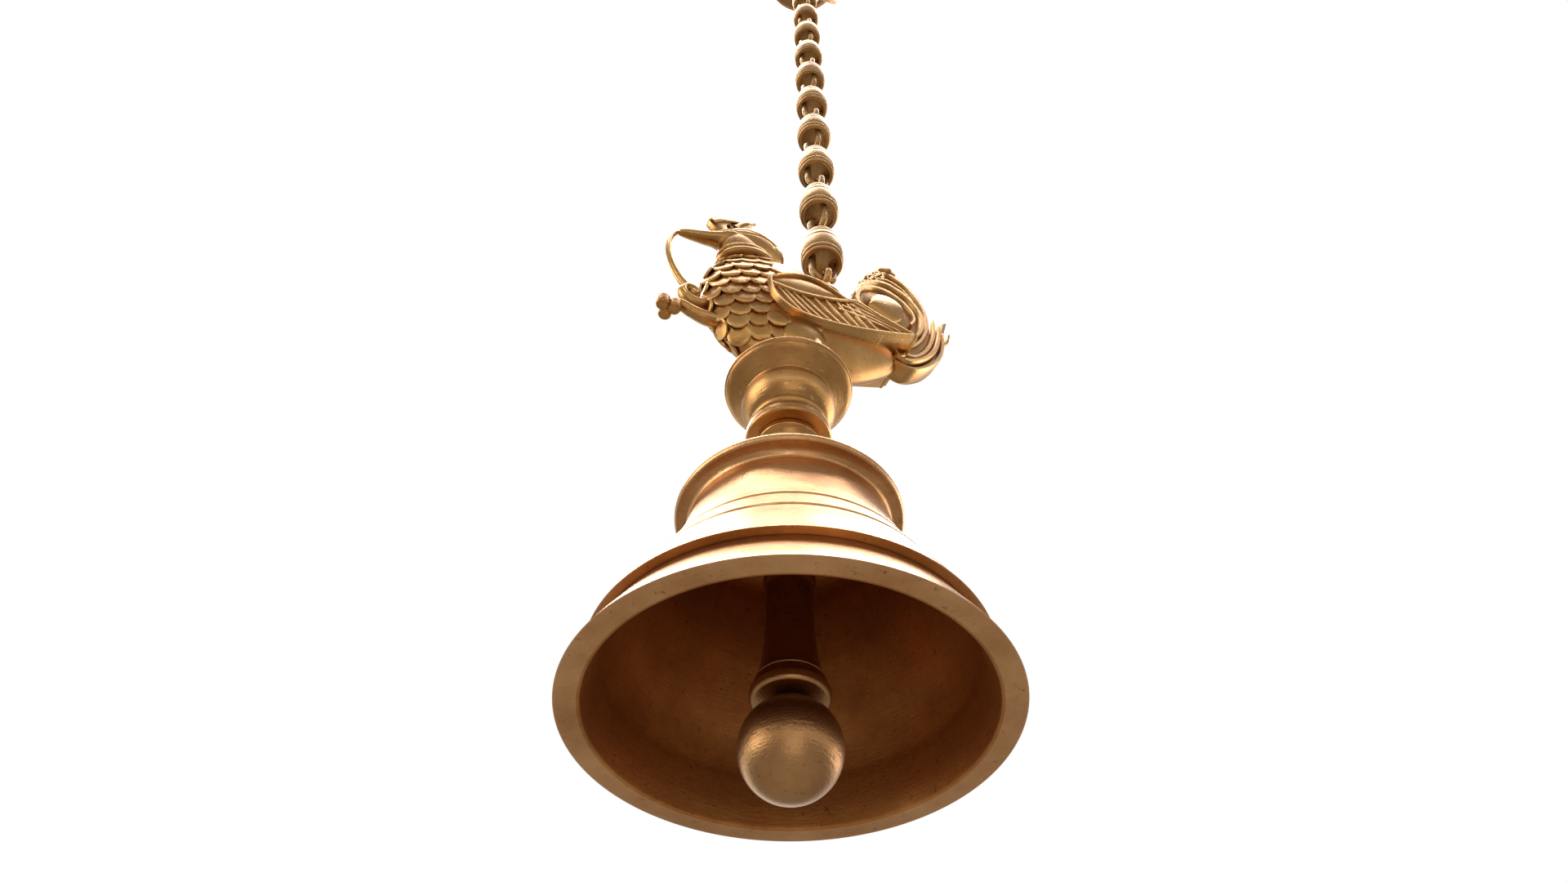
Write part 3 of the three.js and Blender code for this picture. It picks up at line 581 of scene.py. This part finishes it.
rng = np.random.default_rng(7)
scales = []
for row in range(ROWS):
    narrow = NARROW if row < 2 else 1.0
    fine = np.linspace(0, 2.6, 400)
    for side in (-1, 1):
        curve = row_on_egg(FIRST_ROW + ROW_STEP * row, side * fine)
        run = np.concatenate([[0], np.cumsum(np.linalg.norm(np.diff(curve, axis=0), axis=1))])
        step = SCALE_STEP * narrow
        start = 0.0 if row % 2 == 0 else step / 2
        places = np.arange(start, run[-1], step)
        if side > 0 and row % 2 == 0:
            places = places[1:]
        points = np.stack([np.interp(places, run, curve[:, k]) for k in range(3)], -1)
        for point, normal in zip(points, egg_slope(points)):
            under_wing = point[0] > -13 and point[2] > 223
            if not under_wing and point[0] < 11 and point[2] > 197:
                size = SCALE_RADIUS * narrow * rng.uniform(0.93, 1.05)
                point = point + rng.uniform(-0.35, 0.35) * ASIDE
                scales.append(scale_disc(point, normal, size, rng.uniform(1.2, 1.7)))
bird_piece("breast_scales", scales)

# ------------------------------------------------------------------------------
# The neck ring and the head: a double collar at the foot of the neck, then neck, skull, cheeks and a slim
# bill cast as one soft form, with the long eye and the line of the mouth cut into it.


def on_neck(points):
    """Points given about the neck's own axis, leaned back and moved to the foot of the neck."""
    p = np.asarray(points, float)
    lean, rise = math.cos(NECK_TILT), math.sin(NECK_TILT)
    return np.stack([p[..., 0] * lean - p[..., 2] * rise, p[..., 1], p[..., 0] * rise + p[..., 2] * lean], -1) \
        + NECK_CENTRE


collar_side = eased([
    (9, -2.6), (15.6, -2.6), (17.6, -1.8), (18.3, -0.2), (17.8, 1.4), (15.7, 2.2), (15.9, 3.0),
    (17.0, 3.6), (17.1, 4.9), (16.4, 5.8), (14.2, 6.1), (9, 6.1),
], 0.5)
collar_grid = spun(collar_side, 96)
collar_grid[..., 1] *= 0.62
bird_piece("neck_double_ring", [skin(on_neck(collar_grid), ring=True)], "neck_ring")


def cast_as_one(made, voxel, rounds):
    """Melts overlapping skins into one surface of this grain, in millimetres, and smooths it."""
    remesh = made.modifiers.new("melt", "REMESH")
    remesh.mode = "VOXEL"
    remesh.voxel_size = voxel * MM
    soften = made.modifiers.new("soften", "SMOOTH")
    soften.factor = 0.5
    soften.iterations = rounds
    shown = made.evaluated_get(bpy.context.evaluated_depsgraph_get())
    mesh = bpy.data.meshes.new_from_object(shown)
    made.modifiers.clear()
    old, made.data = made.data, mesh
    bpy.data.meshes.remove(old)
    mesh.polygons.foreach_set("use_smooth", np.ones(len(mesh.polygons), bool))


def cut_lines(made, axis, lines):
    """Presses lines into a mesh. Each line is (points in the middle plane, depth, width): every vertex sinks along
    its normal by depth * exp(-(distance to the line / width)^2), with the distance taken in the side view."""
    count = len(made.data.vertices)
    place, normal = np.empty(count * 3), np.empty(count * 3)
    made.data.vertices.foreach_get("co", place)
    made.data.vertices.foreach_get("normal", normal)
    place, normal = place.reshape(-1, 3), normal.reshape(-1, 3)
    seen = ((place - axis) / MM)[:, [0, 2]]
    sink = np.zeros(count)
    for points, depth, width in lines:
        a, b = points[:-1], points[1:]
        run = b - a
        share = np.clip(np.einsum("vsk,sk->vs", seen[:, None] - a[None], run) / np.sum(run ** 2, axis=1), 0, 1)
        gap = np.linalg.norm(seen[:, None] - a[None] - share[..., None] * run[None], axis=2).min(axis=1)
        sink += depth * np.exp(-(gap / width) ** 2)
    aside = np.clip(np.abs(normal[:, 1]) * 1.6, 0, 1)
    place -= normal * (sink * aside * MM)[:, None]
    made.data.vertices.foreach_set("co", place.ravel())
    made.data.update()


def billed(rows, cols=28):
    """The bill: oval rings at (along, height, half width, half height)."""
    b = round_angles(cols)
    return skin(np.stack([
        np.column_stack([0 * b + t, w * np.cos(b), z + h * np.sin(b)]) for t, z, w, h in rows]))


bill = through([
    (-65.6, 286.4, 1.7, 2.2), (-63, 287.3, 2.5, 3.0), (-57, 289.7, 3.3, 3.8), (-50, 292.8, 4.2, 4.4),
    (-44, 296.0, 5.2, 5.4), (-36, 298, 7.5, 7.5),
], 30)
neck_rows = np.array([(12.6, 0), (13.6, 5), (13.9, 9), (13.4, 14), (11.6, 19), (8.0, 24)])
neck_grid = spun(through(neck_rows, 24), 48)
neck_grid[..., 1] *= 0.68
head = piece("bird_head_and_neck", joined([
    skin(on_neck(neck_grid)), oval((-22, 0, 300), (19, 10.6, 15.4), 32, 40),
    oval((-33.4, 0, 298), (12.4, 8.2, 8.8)), billed(bill),
]), bird_brass, BELL_AXIS)
cast_as_one(head, 0.45, 6)
mouth_line = through([(-66.5, 287.0), (-58, 291.4), (-50, 295.0), (-43, 298.6), (-38, 299.4)], 16)
eye_upper = through([(-38.5, 300.4), (-34, 303.0), (-28, 303.6), (-20, 302.4), (-12, 300.6)], 16)
eye_lower = through([(-38.5, 300.0), (-34, 299.2), (-28, 299.8), (-20, 300.8), (-12, 300.4)], 16)
jaw_line = through([(-13, 300), (-11.5, 295), (-14, 290), (-20, 286.5), (-27, 285.0)], 14)
cut_lines(head, BELL_AXIS, [
    (mouth_line, 0.9, 0.7), (eye_upper, 1.5, 0.6), (eye_lower, 1.1, 0.55), (jaw_line, 0.3, 1.3),
])
settle(head, "bird_and_bell", "bird_brass", "bird_head")


# ------------------------------------------------------------------------------
# The ornaments in the middle plane: the crest's two curled leaves, the vine in the bill, the breast scroll
# with its bead and the horned arm that carries the three-lobed flower. All are cast on to the bird.
def slab(outline, low, high, soft=0.6, smooth_steps=90):
    """A plate between low and high across the bird, with the given outline in the middle plane and eased rims."""
    closed = np.asarray(outline, float)
    if smooth_steps:
        wrapped = np.vstack([closed[-2:], closed, closed[:2]])
        fine = through(wrapped, (len(wrapped) - 1) * 12 + 1)
        closed = fine[24:-12][::max(1, (len(closed) * 12) // smooth_steps)]
    tangent = np.roll(closed, -1, axis=0) - np.roll(closed, 1, axis=0)
    area = np.sum(closed[:, 0] * np.roll(closed[:, 1], -1) - closed[:, 1] * np.roll(closed[:, 0], -1))
    inward = np.column_stack([-tangent[:, 1], tangent[:, 0]]) * np.sign(area)
    inward /= np.maximum(np.linalg.norm(inward, axis=1, keepdims=True), 1e-9)
    rows = [(soft, low), (soft * 0.3, low + soft * 0.3), (0, low + soft),
            (0, high - soft), (soft * 0.3, high - soft * 0.3), (soft, high)]
    grid = [np.insert(closed + inward * drawn_in, 1, across, axis=1) for drawn_in, across in rows]
    cols = len(closed)
    points = np.vstack(grid)
    i, j = np.meshgrid(np.arange(len(rows) - 1), np.arange(cols), indexing="ij")
    side = (j + 1) % cols
    quads = np.stack([i * cols + j, i * cols + side, (i + 1) * cols + side, (i + 1) * cols + j], -1)
    faces = quads.reshape(-1, 4).tolist()
    faces.append(list(range(cols))[::-1])
    faces.append([(len(rows) - 1) * cols + k for k in range(cols)])
    return points, faces


def swell(count, places, sizes):
    """Sizes at count even steps along a line, straight between those given at places from 0 to 1."""
    return np.interp(np.linspace(0, 1, count), places, sizes)


def relief(path, half, low, high):
    """A raised band along a line of the side view. Its foot is at low and its rounded top at high, across the
    bird; half is its half width, one number or one for each point of the line."""
    path = np.asarray(path, float)
    half = np.broadcast_to(np.asarray(half, float), (len(path),))[:, None]
    along = np.gradient(path, axis=0)
    square = np.column_stack([-along[:, 1], along[:, 0]]) / np.linalg.norm(along, axis=1, keepdims=True)
    section = [(-1.0, 0.0), (-1.0, 0.55), (-0.82, 0.86), (-0.45, 1.0),
               (0.45, 1.0), (0.82, 0.86), (1.0, 0.55), (1.0, 0.0)]
    return skin(np.stack([
        np.insert(path + square * half * k, 1, low + (high - low) * rise, axis=1) for k, rise in section],
        axis=1))


def mirrored(shapes):
    """The given skins and their reflections in the middle plane."""
    return shapes + [(points * np.array([1, -1, 1]), faces) for points, faces in shapes]


front_leaf = [(-49.8, 309.6), (-50.2, 314), (-46.5, 318.6), (-39, 323), (-31, 324.8), (-34.5, 319.5),
              (-39.5, 314), (-38, 306), (-44, 304)]
rear_leaf = [(-38, 317), (-35.5, 323), (-30, 328.4), (-24.5, 332.2), (-21.5, 332.6), (-23.5, 327),
             (-25, 318), (-26, 310), (-34, 308)]
leaf_vein = through([(-48, 311.5), (-44, 316), (-38, 319.8), (-33.5, 322.4)], 20)
rear_vein = through([(-34, 316), (-31, 322.4), (-26.5, 328)], 18)
bird_piece("head_crest_leaves", [slab(front_leaf, -2.2, 2.2), slab(rear_leaf, -2.2, 2.2)] + mirrored([
    relief(leaf_vein, np.linspace(1.6, 0.6, 20), 1.6, 3.0),
    relief(rear_vein, np.linspace(1.7, 0.6, 18), 1.6, 3.0),
]), "head_crest")

vine_path = through([
    (-64.5, 0, 286.5), (-67.6, 0, 282), (-69.4, 0, 272), (-68.6, 0, 260), (-65.4, 0, 248.5), (-60.5, 0, 238.5),
    (-55.4, 0, 232.6),
], 60)
vine_width = swell(60, [0, 0.15, 0.6, 1], [0.9, 1.3, 1.7, 2.4])
vine_edge = [vine_path + np.array([k, 0, 0]) * vine_width[:, None] for k in (-0.8, 0.8)]
bird_piece("bill_vine", [
    tube(vine_path, vine_width, squash=0.8), *[tube(edge, vine_width * 0.42, 8) for edge in vine_edge],
], "beak_vine")

curl = through([
    (-44.0, 0, 226.5), (-49, 0, 222.8), (-54.6, 0, 223.0), (-57.9, 0, 227.2), (-56.6, 0, 231.8),
    (-52.6, 0, 232.6), (-50.6, 0, 229.8), (-52, 0, 227.6),
], 70)
curl_width = swell(70, [0, 0.5, 0.85, 1], [3.2, 2.7, 2.0, 1.5])
bird_piece("breast_scroll", [
    tube(curl, curl_width), *[tube(curl + np.array([0, y, 0]), curl_width * 0.4, 8) for y in (-2.2, 2.2)],
    oval((-52.8, 0, 228.4), (2.4, 3.4, 2.4), 12, 16),
], "chest_scroll")

arm = through([
    (-38.5, 0, 214), (-45, 0, 212.4), (-52, 0, 213.2), (-58, 0, 215.0), (-62, 0, 212.6), (-63.8, 0, 209.4),
], 50)
arm_width = swell(50, [0, 0.35, 0.8, 1], [4.2, 3.3, 2.6, 2.2])
lobe_profile = eased([(2.4, 205.0), (3.0, 205.4), (3.3, 206.2), (3.3, 211.0), (3.0, 211.8), (2.2, 212.2)], 0.35)
lobe_places = ((-2.9, -1.7), (2.9, -1.7), (0, 2.8))
lobes = [skin(spun(lobe_profile, 36) + np.array([-64 + x, y, 0])) for x, y in lobe_places]
bird_piece("breast_three_lobed_flower", [tube(arm, arm_width), *lobes], "chest_trefoil")


# ------------------------------------------------------------------------------
# The wings: thick cast slabs with a flat underside and a sharp rear corner. The outer face is sunk inside a
# raised rim; a ridge parts a smooth domed leaf above from the slanting feathers below, and three long feathers
# run back.
def bend(start, pull, push, end, count):
    """A cubic curve from start to end that leaves towards pull and arrives from push."""
    s = np.linspace(0, 1, count)[:, None]
    start, pull, push, end = (np.asarray(p, float) for p in (start, pull, push, end))
    return (1 - s) ** 3 * start + 3 * (1 - s) ** 2 * s * pull + 3 * (1 - s) * s ** 2 * push + s ** 3 * end


wing_top = through([
    (-19.6, 246), (-11, 254.6), (-1, 261), (8, 262.8), (17, 260.6), (25, 256.4), (32, 258.6), (46, 254.4),
], 60)
wing_under = bend((69.5, 249.6), (52, 240), (22, 221.5), (-3, 221), 60)
wing_front = bend((-3, 221), (-14, 221), (-21.5, 232), (-19.6, 246), 24)
wing_edge = np.vstack([wing_top, wing_under, wing_front[1:-1]])
wing_ridge = through([(-19, 239.4), (-10, 240), (0, 242), (15, 248), (26, 254.6), (31, 257.4)], 60)
FACE, FLOOR = 19.3, 17.3


def moved_left(outline, distance):
    """An open line moved by distance to its left-hand side."""
    run = np.gradient(outline, axis=0)
    left = np.column_stack([-run[:, 1], run[:, 0]])
    return outline + left / np.maximum(np.linalg.norm(run, axis=1, keepdims=True), 1e-9) * distance


def domed_leaf(lower, upper, floor, rise, steps=24):
    """A cushion between two lines of the side view: floor + rise * sin(pi v)^0.6 * sin(pi s)^0.3, with v from
    the lower to the upper line and s along them."""
    v = np.linspace(0, 1, steps)[None, :, None]
    face = lower[:, None] * (1 - v) + upper[:, None] * v
    s = np.linspace(0, 1, len(lower))[:, None]
    dome = floor + rise * np.sin(np.pi * v[..., 0]) ** 0.6 * np.sin(np.pi * np.clip(s, 0.02, 0.98)) ** 0.3
    front = np.stack([face[..., 0], dome, face[..., 1]], -1)
    back = front[:, ::-1] * np.array([1, 0, 1]) + np.array([0, floor - 1.0, 0])
    return skin(np.concatenate([front, back], axis=1))


leaf_low = through([(-17.4, 241.8), (-9, 242.2), (1, 244.4), (14, 249.8), (24, 255.2)], 50)
leaf_high = through([
    (-17.6, 244.6), (-10.5, 252.0), (-1, 258.4), (8, 260.2), (16.5, 258.2), (24.2, 256.0),
], 50)
wing_parts = [
    slab(wing_edge, 6.4, FLOOR, 0.3, smooth_steps=0),
    relief(moved_left(np.vstack([wing_top[2:], wing_under[:1] + [[-1.5, 0.4]]]), -1.0), 1.0, 12, FACE),
    relief(moved_left(np.vstack([wing_under, wing_front[1:], wing_top[1:4]]), -1.0)[1:], 0.95, 12, FACE),
    relief(wing_ridge, swell(60, [0, 0.5, 1], [1.3, 1.1, 1.3]), 14, FACE - 0.1),
    relief(through([(29, 256.4), (44, 253.0), (64, 249.9)], 40), 1.25, 14, FACE - 0.3),
    domed_leaf(leaf_low, leaf_high, FLOOR - 0.2, 1.5),
]
for at in np.arange(9) / 8:
    root = wing_ridge[int(5 + at * 46)] + np.array([0.6, -1.4])
    foot = wing_under[::-1][int(3 + at * 33)] + np.array([-0.4, 1.6])
    sweep = bend(root, root * 0.62 + foot * 0.38 + [1.2, -1.6], root * 0.25 + foot * 0.75 + [-1.0, -1.0], foot, 26)
    wing_parts.append(relief(sweep, swell(26, [0, 0.4, 1], [0.7, 1.35, 0.8]), 14.5, FACE - 0.8))
for start, pull, push, end in (
    ((27, 252.6), (38, 251.2), (50, 250.2), (61, 248.6)),
    ((22, 247.6), (34, 248.4), (46, 247.6), (58, 246.8)),
    ((20, 242.4), (31, 245.0), (42, 245.0), (53, 244.2)),
):
    quill = bend(start, pull, push, end, 36)
    wing_parts.append(relief(quill, swell(36, [0, 0.3, 1], [0.8, 1.45, 0.6]), 14.5, FACE - 0.7))
for side, name in ((-1, "left"), (1, "right")):
    parts = [(points * np.array([1, side, 1]), faces) for points, faces in wing_parts]
    bird_piece("bird_wing_" + name, parts, "wing_" + name, "wing_feathers_" + name)

# ------------------------------------------------------------------------------
# The tail: a flat upright fan with the same relief on both faces. A domed leaf lies in the middle inside two
# raised coils, smaller curls run up to a turned knob, and long feathers sweep up behind to notched tips.
fan_edge = [
    (40, 272), (48, 262), (57, 253), (66, 245), (75, 254), (84, 268), (89.6, 284), (91, 298), (90, 312),
    (86, 326), (78, 337), (67, 340.6), (59.5, 338.6), (54, 330), (49.5, 318.5), (44, 307), (38.6, 294),
    (37.4, 281),
]
fan_core = [(45, 276), (56, 270), (70, 275), (76, 288), (70, 301), (57, 304), (45, 298), (41.6, 286)]
tail_leaf_low = through([(46, 280), (52, 273.6), (60, 273), (68, 280), (70.5, 290)], 44)
tail_leaf_high = through([(46.6, 283), (48.4, 292), (54, 300), (62, 301.4), (69.6, 293.6)], 44)
coil = through([
    (66, 268.6), (56, 267.2), (45, 271.6), (39.6, 281), (41.2, 293), (48, 302.6), (58, 306.8), (68, 304.2),
    (75, 297), (77, 288), (73.6, 279.4),
], 90)
second_coil = through([
    (38.6, 290), (42.6, 302), (49, 311.6), (56, 318.6), (65, 321), (74.6, 317.6), (81.6, 309.4), (84.4, 299),
    (83.4, 287), (78.8, 275.6), (71, 266),
], 90)
outer_coil = through([
    (46.4, 308), (51, 318), (56.4, 328.4), (62, 335.6), (68.6, 337.6), (76.6, 333.6), (84, 324), (88.4, 311),
    (88.8, 297), (86, 284), (80, 270), (72, 258.6),
], 90)
small_curls = [
    through([(47.4, 306.4), (45.4, 311.6), (49, 315.4), (52.6, 312.6), (50.6, 309.6)], 30),
    through([(51.6, 318), (50.6, 323.6), (54.4, 326.6), (57.6, 323.6), (55.4, 320.6)], 30),
    through([(56.4, 328.6), (56.6, 333.6), (60.6, 335.2), (62.6, 331.8), (60.4, 329.4)], 30),
]
fan_faces = [
    relief(coil, swell(90, [0, 0.2, 0.8, 1], [1.2, 2.5, 2.3, 1.0]), 0, 9.4),
    relief(second_coil, swell(90, [0, 0.2, 0.8, 1], [1.2, 2.3, 2.3, 1.2]), 0, 7.2),
    relief(outer_coil, swell(90, [0, 0.2, 0.8, 1], [1.0, 1.9, 2.1, 1.4]), 0, 5.9),
    domed_leaf(tail_leaf_low, tail_leaf_high, 7.4, 4.6),
    *[relief(curl_line, 1.25, 0, 5.9) for curl_line in small_curls],
    relief(through([(52.8, 309.6), (60, 314.4), (69, 312.8), (76.4, 306)], 30), 1.0, 0, 6.3),
    relief(through([(58, 326.6), (66, 329.8), (75, 326.6), (82, 317)], 30), 1.1, 0, 5.6),
]
bird_piece("tail_fan", [
    slab(fan_edge, -4.6, 4.6, 0.8), slab(fan_core, -8.0, 8.0, 0.5), *mirrored(fan_faces),
], "tail_root", "tail_scroll", "tail_crest")

PETALS, PETALS_TOP = 8, 344
knob_side = through([
    (0.9, 340), (5.6, 340.2), (7.2, 341.6), (6.8, 343.2), (4.9, 344), (5.9, 345.2), (5.2, 346.8), (3.2, 347.4),
    (3.6, 348.6), (2.6, 349.9), (0.8, 350.4),
], 50)
petals = spun(knob_side, 72)
petals[..., :2] *= (1 + 0.06 * np.cos(PETALS * round_angles(72)) * (knob_side[:, 1:] < PETALS_TOP))[..., None]
bird_piece("tail_rosette_knob", [skin(petals + np.array([67, 0, 0]))], "tail_knob")

sweeps = [
    (through([(62.5, 243), (70, 243.4), (80.4, 252.4), (89.4, 267), (94.6, 284), (96.4, 297)], 60), 2.0, 7.2),
    (through([(66, 250), (74, 250.6), (82, 260.4), (88.4, 274), (92.2, 288), (93.6, 302)], 60), 1.8, 6.6),
    (through([(61, 239.2), (71, 238.4), (82.4, 247.4), (92.4, 263), (97.8, 280.6), (99.4, 293)], 60), 1.6, 5.8),
]
feather_parts = [
    relief(line, half * swell(60, [0, 0.12, 0.8, 1], [0.6, 1, 1, 0.5]), 0, depth)
    for line, half, depth in sweeps
]
curl_end = through([(66.4, 245.4), (63, 243.2), (61.6, 246.4), (64.2, 249.2), (67.6, 249.2)], 26)
feather_parts.append(relief(curl_end, 1.5, 0, 7.8))
upper_tip = [(95, 290), (99, 291), (102.4, 298), (106.4, 312), (101.6, 308.2), (99.6, 303), (96, 299)]
lower_tip = [(97, 282), (100.6, 283.4), (104.6, 290), (107.2, 299.6), (103.6, 297.8), (100, 292.6)]
feather_web = [(62, 241), (71, 241), (82, 250), (91, 265), (96, 282), (97.6, 296), (93, 300), (90.6, 284),
               (84, 266), (74, 252), (66, 248)]
bird_piece("tail_long_feathers", mirrored(feather_parts) + [
    slab(upper_tip, -3.4, 3.4, 0.5, 0), slab(lower_tip, -3.4, 3.4, 0.5, 0), slab(feather_web, -3.2, 3.2, 0.5),
], "tail_feathers")

# ------------------------------------------------------------------------------
# The eye on the bird's back, and the chain: ten long wire links, each through a hollow turned bead that is open
# below and slotted on top. Link and bead are one casting run; every second link is turned a quarter.
chain_brass = aged_brass("chain_brass", (0.48, 0.275, 0.105), (0.27, 0.14, 0.048), 0.38, grain=1.1, wear=0.6)
LINKS, LINK_PITCH, LINK_WIRE, FIRST_BEAD = 10, 66.07, 4.5, 340.3
LEG, LINK_END = 6.65, (LINK_PITCH + LINK_WIRE + PLAY) / 2
BACK_EYE = 6.1
BACK_EYE_TOP = FIRST_BEAD - LINK_END + LINK_WIRE + PLAY

eye_points, eye_faces = wire_ring(BACK_EYE, LINK_WIRE, BACK_EYE_TOP - BACK_EYE, False)
eye_foot = spun(through([(9.2, 283), (8.0, 287), (6.0, 291.5), (4.6, 296), (3.2, 299)], 24), 40)
to_chain = np.array([CHAIN_OFFSET, 0, 0])
bird_piece("bird_back_eye", [(eye_points + to_chain, eye_faces), skin(eye_foot + to_chain)], "back_eye")


def link_loop():
    """A long closed loop of round wire in the x-z plane, drawn in where it passes the top of its bead."""
    straight = LINK_END - LEG
    z = np.linspace(-straight, straight, 60)
    leg = LEG - 2.6 * np.exp(-((z - 16.5) / 7) ** 2)
    turn = np.linspace(0, np.pi, 22)[1:-1]
    line = np.vstack([
        np.column_stack([leg, z]), np.column_stack([LEG * np.cos(turn), straight + LEG * np.sin(turn)]),
        np.column_stack([-leg[::-1], z[::-1]]),
        np.column_stack([-LEG * np.cos(turn), -straight - LEG * np.sin(turn)]),
    ])
    run = np.roll(line, -1, 0) - np.roll(line, 1, 0)
    out = np.column_stack([run[:, 1], -run[:, 0]]) / np.linalg.norm(run, axis=1, keepdims=True)
    b = round_angles(16)
    wire = LINK_WIRE / 2 * (1 + 0.02 * np.sin(np.arange(len(line)) * 0.9))[:, None]
    return np.stack([
        line[:, :1] + wire * np.cos(b) * out[:, :1], wire * np.sin(b) + 0 * out[:, :1],
        line[:, 1:] + wire * np.cos(b) * out[:, 1:],
    ], -1)


bead_ribs = through([
    (10.7, -18), (11.7, -17.7), (12.3, -16.7), (12.0, -15.6), (11.2, -15.1), (11.3, -14.6), (12.5, -14.0),
    (12.85, -12.8), (12.5, -11.7), (11.7, -11.3), (11.8, -10.8), (12.8, -10.2), (13.2, -8), (13.35, -4.6),
    (13.2, -1.4), (12.8, -0.4), (11.7, 0.1), (11.6, 0.8), (12.3, 1.3), (12.5, 2.6), (12.2, 4.8), (11.7, 6.8),
    (11.3, 7.6), (10.4, 8.0), (10.4, 8.6), (11.0, 9.1), (10.9, 10.6), (10.2, 12.2), (9.4, 12.9), (9.3, 13.5),
    (9.6, 14.2), (9.2, 16.2), (8.2, 18),
], 160)
bead_inside = through([(6.9, 18), (6.9, 15), (9.3, 8), (10.7, 0), (10.5, -11), (9.7, -18)], 40)
bead_grid = spun(np.vstack([bead_ribs, bead_inside]), 64)
recess = spun(np.array([(0.3, -13.2), (9.8, -13.2), (10.9, -13.8), (10.9, -12), (0.3, -12)]), 40)
top_plate = spun(np.array([(0.3, 15.0), (7.4, 15.0), (7.4, 17.4), (6.6, 17.9), (0.3, 17.9)]), 40)
loop = link_loop()
quarter = loop[..., [1, 0, 2]] * np.array([-1, 1, 1])
for k in range(LINKS):
    lift = np.array([0, 0, FIRST_BEAD + k * LINK_PITCH])
    number = f"{k + 1:02d}"
    wire = skin((loop if k % 2 == 0 else quarter) + lift, ring=True)
    link = piece("chain_wire_link_" + number, wire, chain_brass, CHAIN_AXIS)
    settle(link, f"chain_link_{number}", "chain_brass", "link_" + number)
    bead = piece("chain_bell_bead_" + number, joined([
        skin(bead_grid + lift, ring=True), skin(top_plate + lift), skin(recess + lift),
    ]), chain_brass, CHAIN_AXIS)
    settle(bead, f"chain_link_{number}", "chain_brass", "bead_" + number)

# ------------------------------------------------------------------------------
# The ceiling hook and plate: a forged hook that carries the top link in its bend and ends in a flat notched tip,
# screwed into a turned boss under a round plate with three screw holes.
plate_low, plate_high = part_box("ceiling_plate")
CEILING = (plate_high.z - bell_low.z) / MM
PLATE_RADIUS = (plate_high.x - plate_low.x) / 2 / MM
PLATE_BOTTOM = (plate_low.z - bell_low.z) / MM
BOSS_TOP = PLATE_BOTTOM - 0.3
HOOK_WIRE, HOOK_BEND = 7, 16
LAST_LINK_TOP = FIRST_BEAD + (LINKS - 1) * LINK_PITCH + LINK_END
BEND = LAST_LINK_TOP - (LINK_WIRE + HOOK_WIRE) / 2 - PLAY + HOOK_BEND

bend_turn = np.linspace(np.pi, 2 * np.pi, 12)
hook_path = np.vstack([
    [(0, 0, BOSS_TOP - 3), (0, 0, BOSS_TOP - 14), (-4, 0, BOSS_TOP - 28), (-14, 0, BEND + 15)],
    np.column_stack([HOOK_BEND * np.cos(bend_turn), 0 * bend_turn, BEND + HOOK_BEND * np.sin(bend_turn)]),
    [(19, 0, BEND + 11), (25, 0, BEND + 18)],
])
hook_line = through(hook_path, 120)
hook_half = swell(120, [0, 0.85, 1], [HOOK_WIRE / 2, HOOK_WIRE / 2, 3.0])
fishtail = [(23, BEND + 13), (33, BEND + 17), (38, BEND + 20), (42.5, BEND + 25), (36.5, BEND + 27),
            (35.5, BEND + 33), (30, BEND + 30), (24, BEND + 24), (21, BEND + 17)]
boss = eased([
    (4, BOSS_TOP - 9), (7, BOSS_TOP - 8), (7.4, BOSS_TOP - 6.6), (9.8, BOSS_TOP - 5), (10, BOSS_TOP - 3.6),
    (10, BOSS_TOP - 0.8), (9.4, BOSS_TOP),
], 0.6)
hook = piece("ceiling_hook_forged", joined([
    tube(hook_line, hook_half, 20), slab(fishtail, -2.2, 2.2, 0.5, 0), skin(spun(boss, 48)),
]), fitting_brass, CHAIN_AXIS)
settle(hook, "ceiling_mount", "fitting_brass", "top_hook")

plate_side = eased([
    (4, PLATE_BOTTOM), (12, PLATE_BOTTOM), (13, PLATE_BOTTOM + 0.6), (PLATE_RADIUS - 11, PLATE_BOTTOM + 0.6),
    (PLATE_RADIUS - 4, PLATE_BOTTOM + 1.4), (PLATE_RADIUS, PLATE_BOTTOM + 4.4), (PLATE_RADIUS, CEILING),
    (4, CEILING),
], 0.5)
disc = piece("ceiling_disc", skin(spun(plate_side, 96), ring=True), fitting_brass, CHAIN_AXIS)
settle(disc, "ceiling_mount", "fitting_brass", "ceiling_plate")
SCREWS, SCREW_CIRCLE = 3, 31
screw_side = np.array([(0.4, PLATE_BOTTOM - 0.9), (2.4, PLATE_BOTTOM - 0.7),
                       (4.3, PLATE_BOTTOM + 0.3), (4.3, PLATE_BOTTOM + 1.6)])
for k in range(SCREWS):
    at = k * 2 * math.pi / SCREWS + math.pi / 6
    screw_head = spun(screw_side, 32) + SCREW_CIRCLE * np.array([math.cos(at), math.sin(at), 0])
    screw = piece(f"ceiling_screw_{k + 1}", skin(screw_head), fitting_brass, CHAIN_AXIS)
    settle(screw, "ceiling_mount", "fitting_brass")
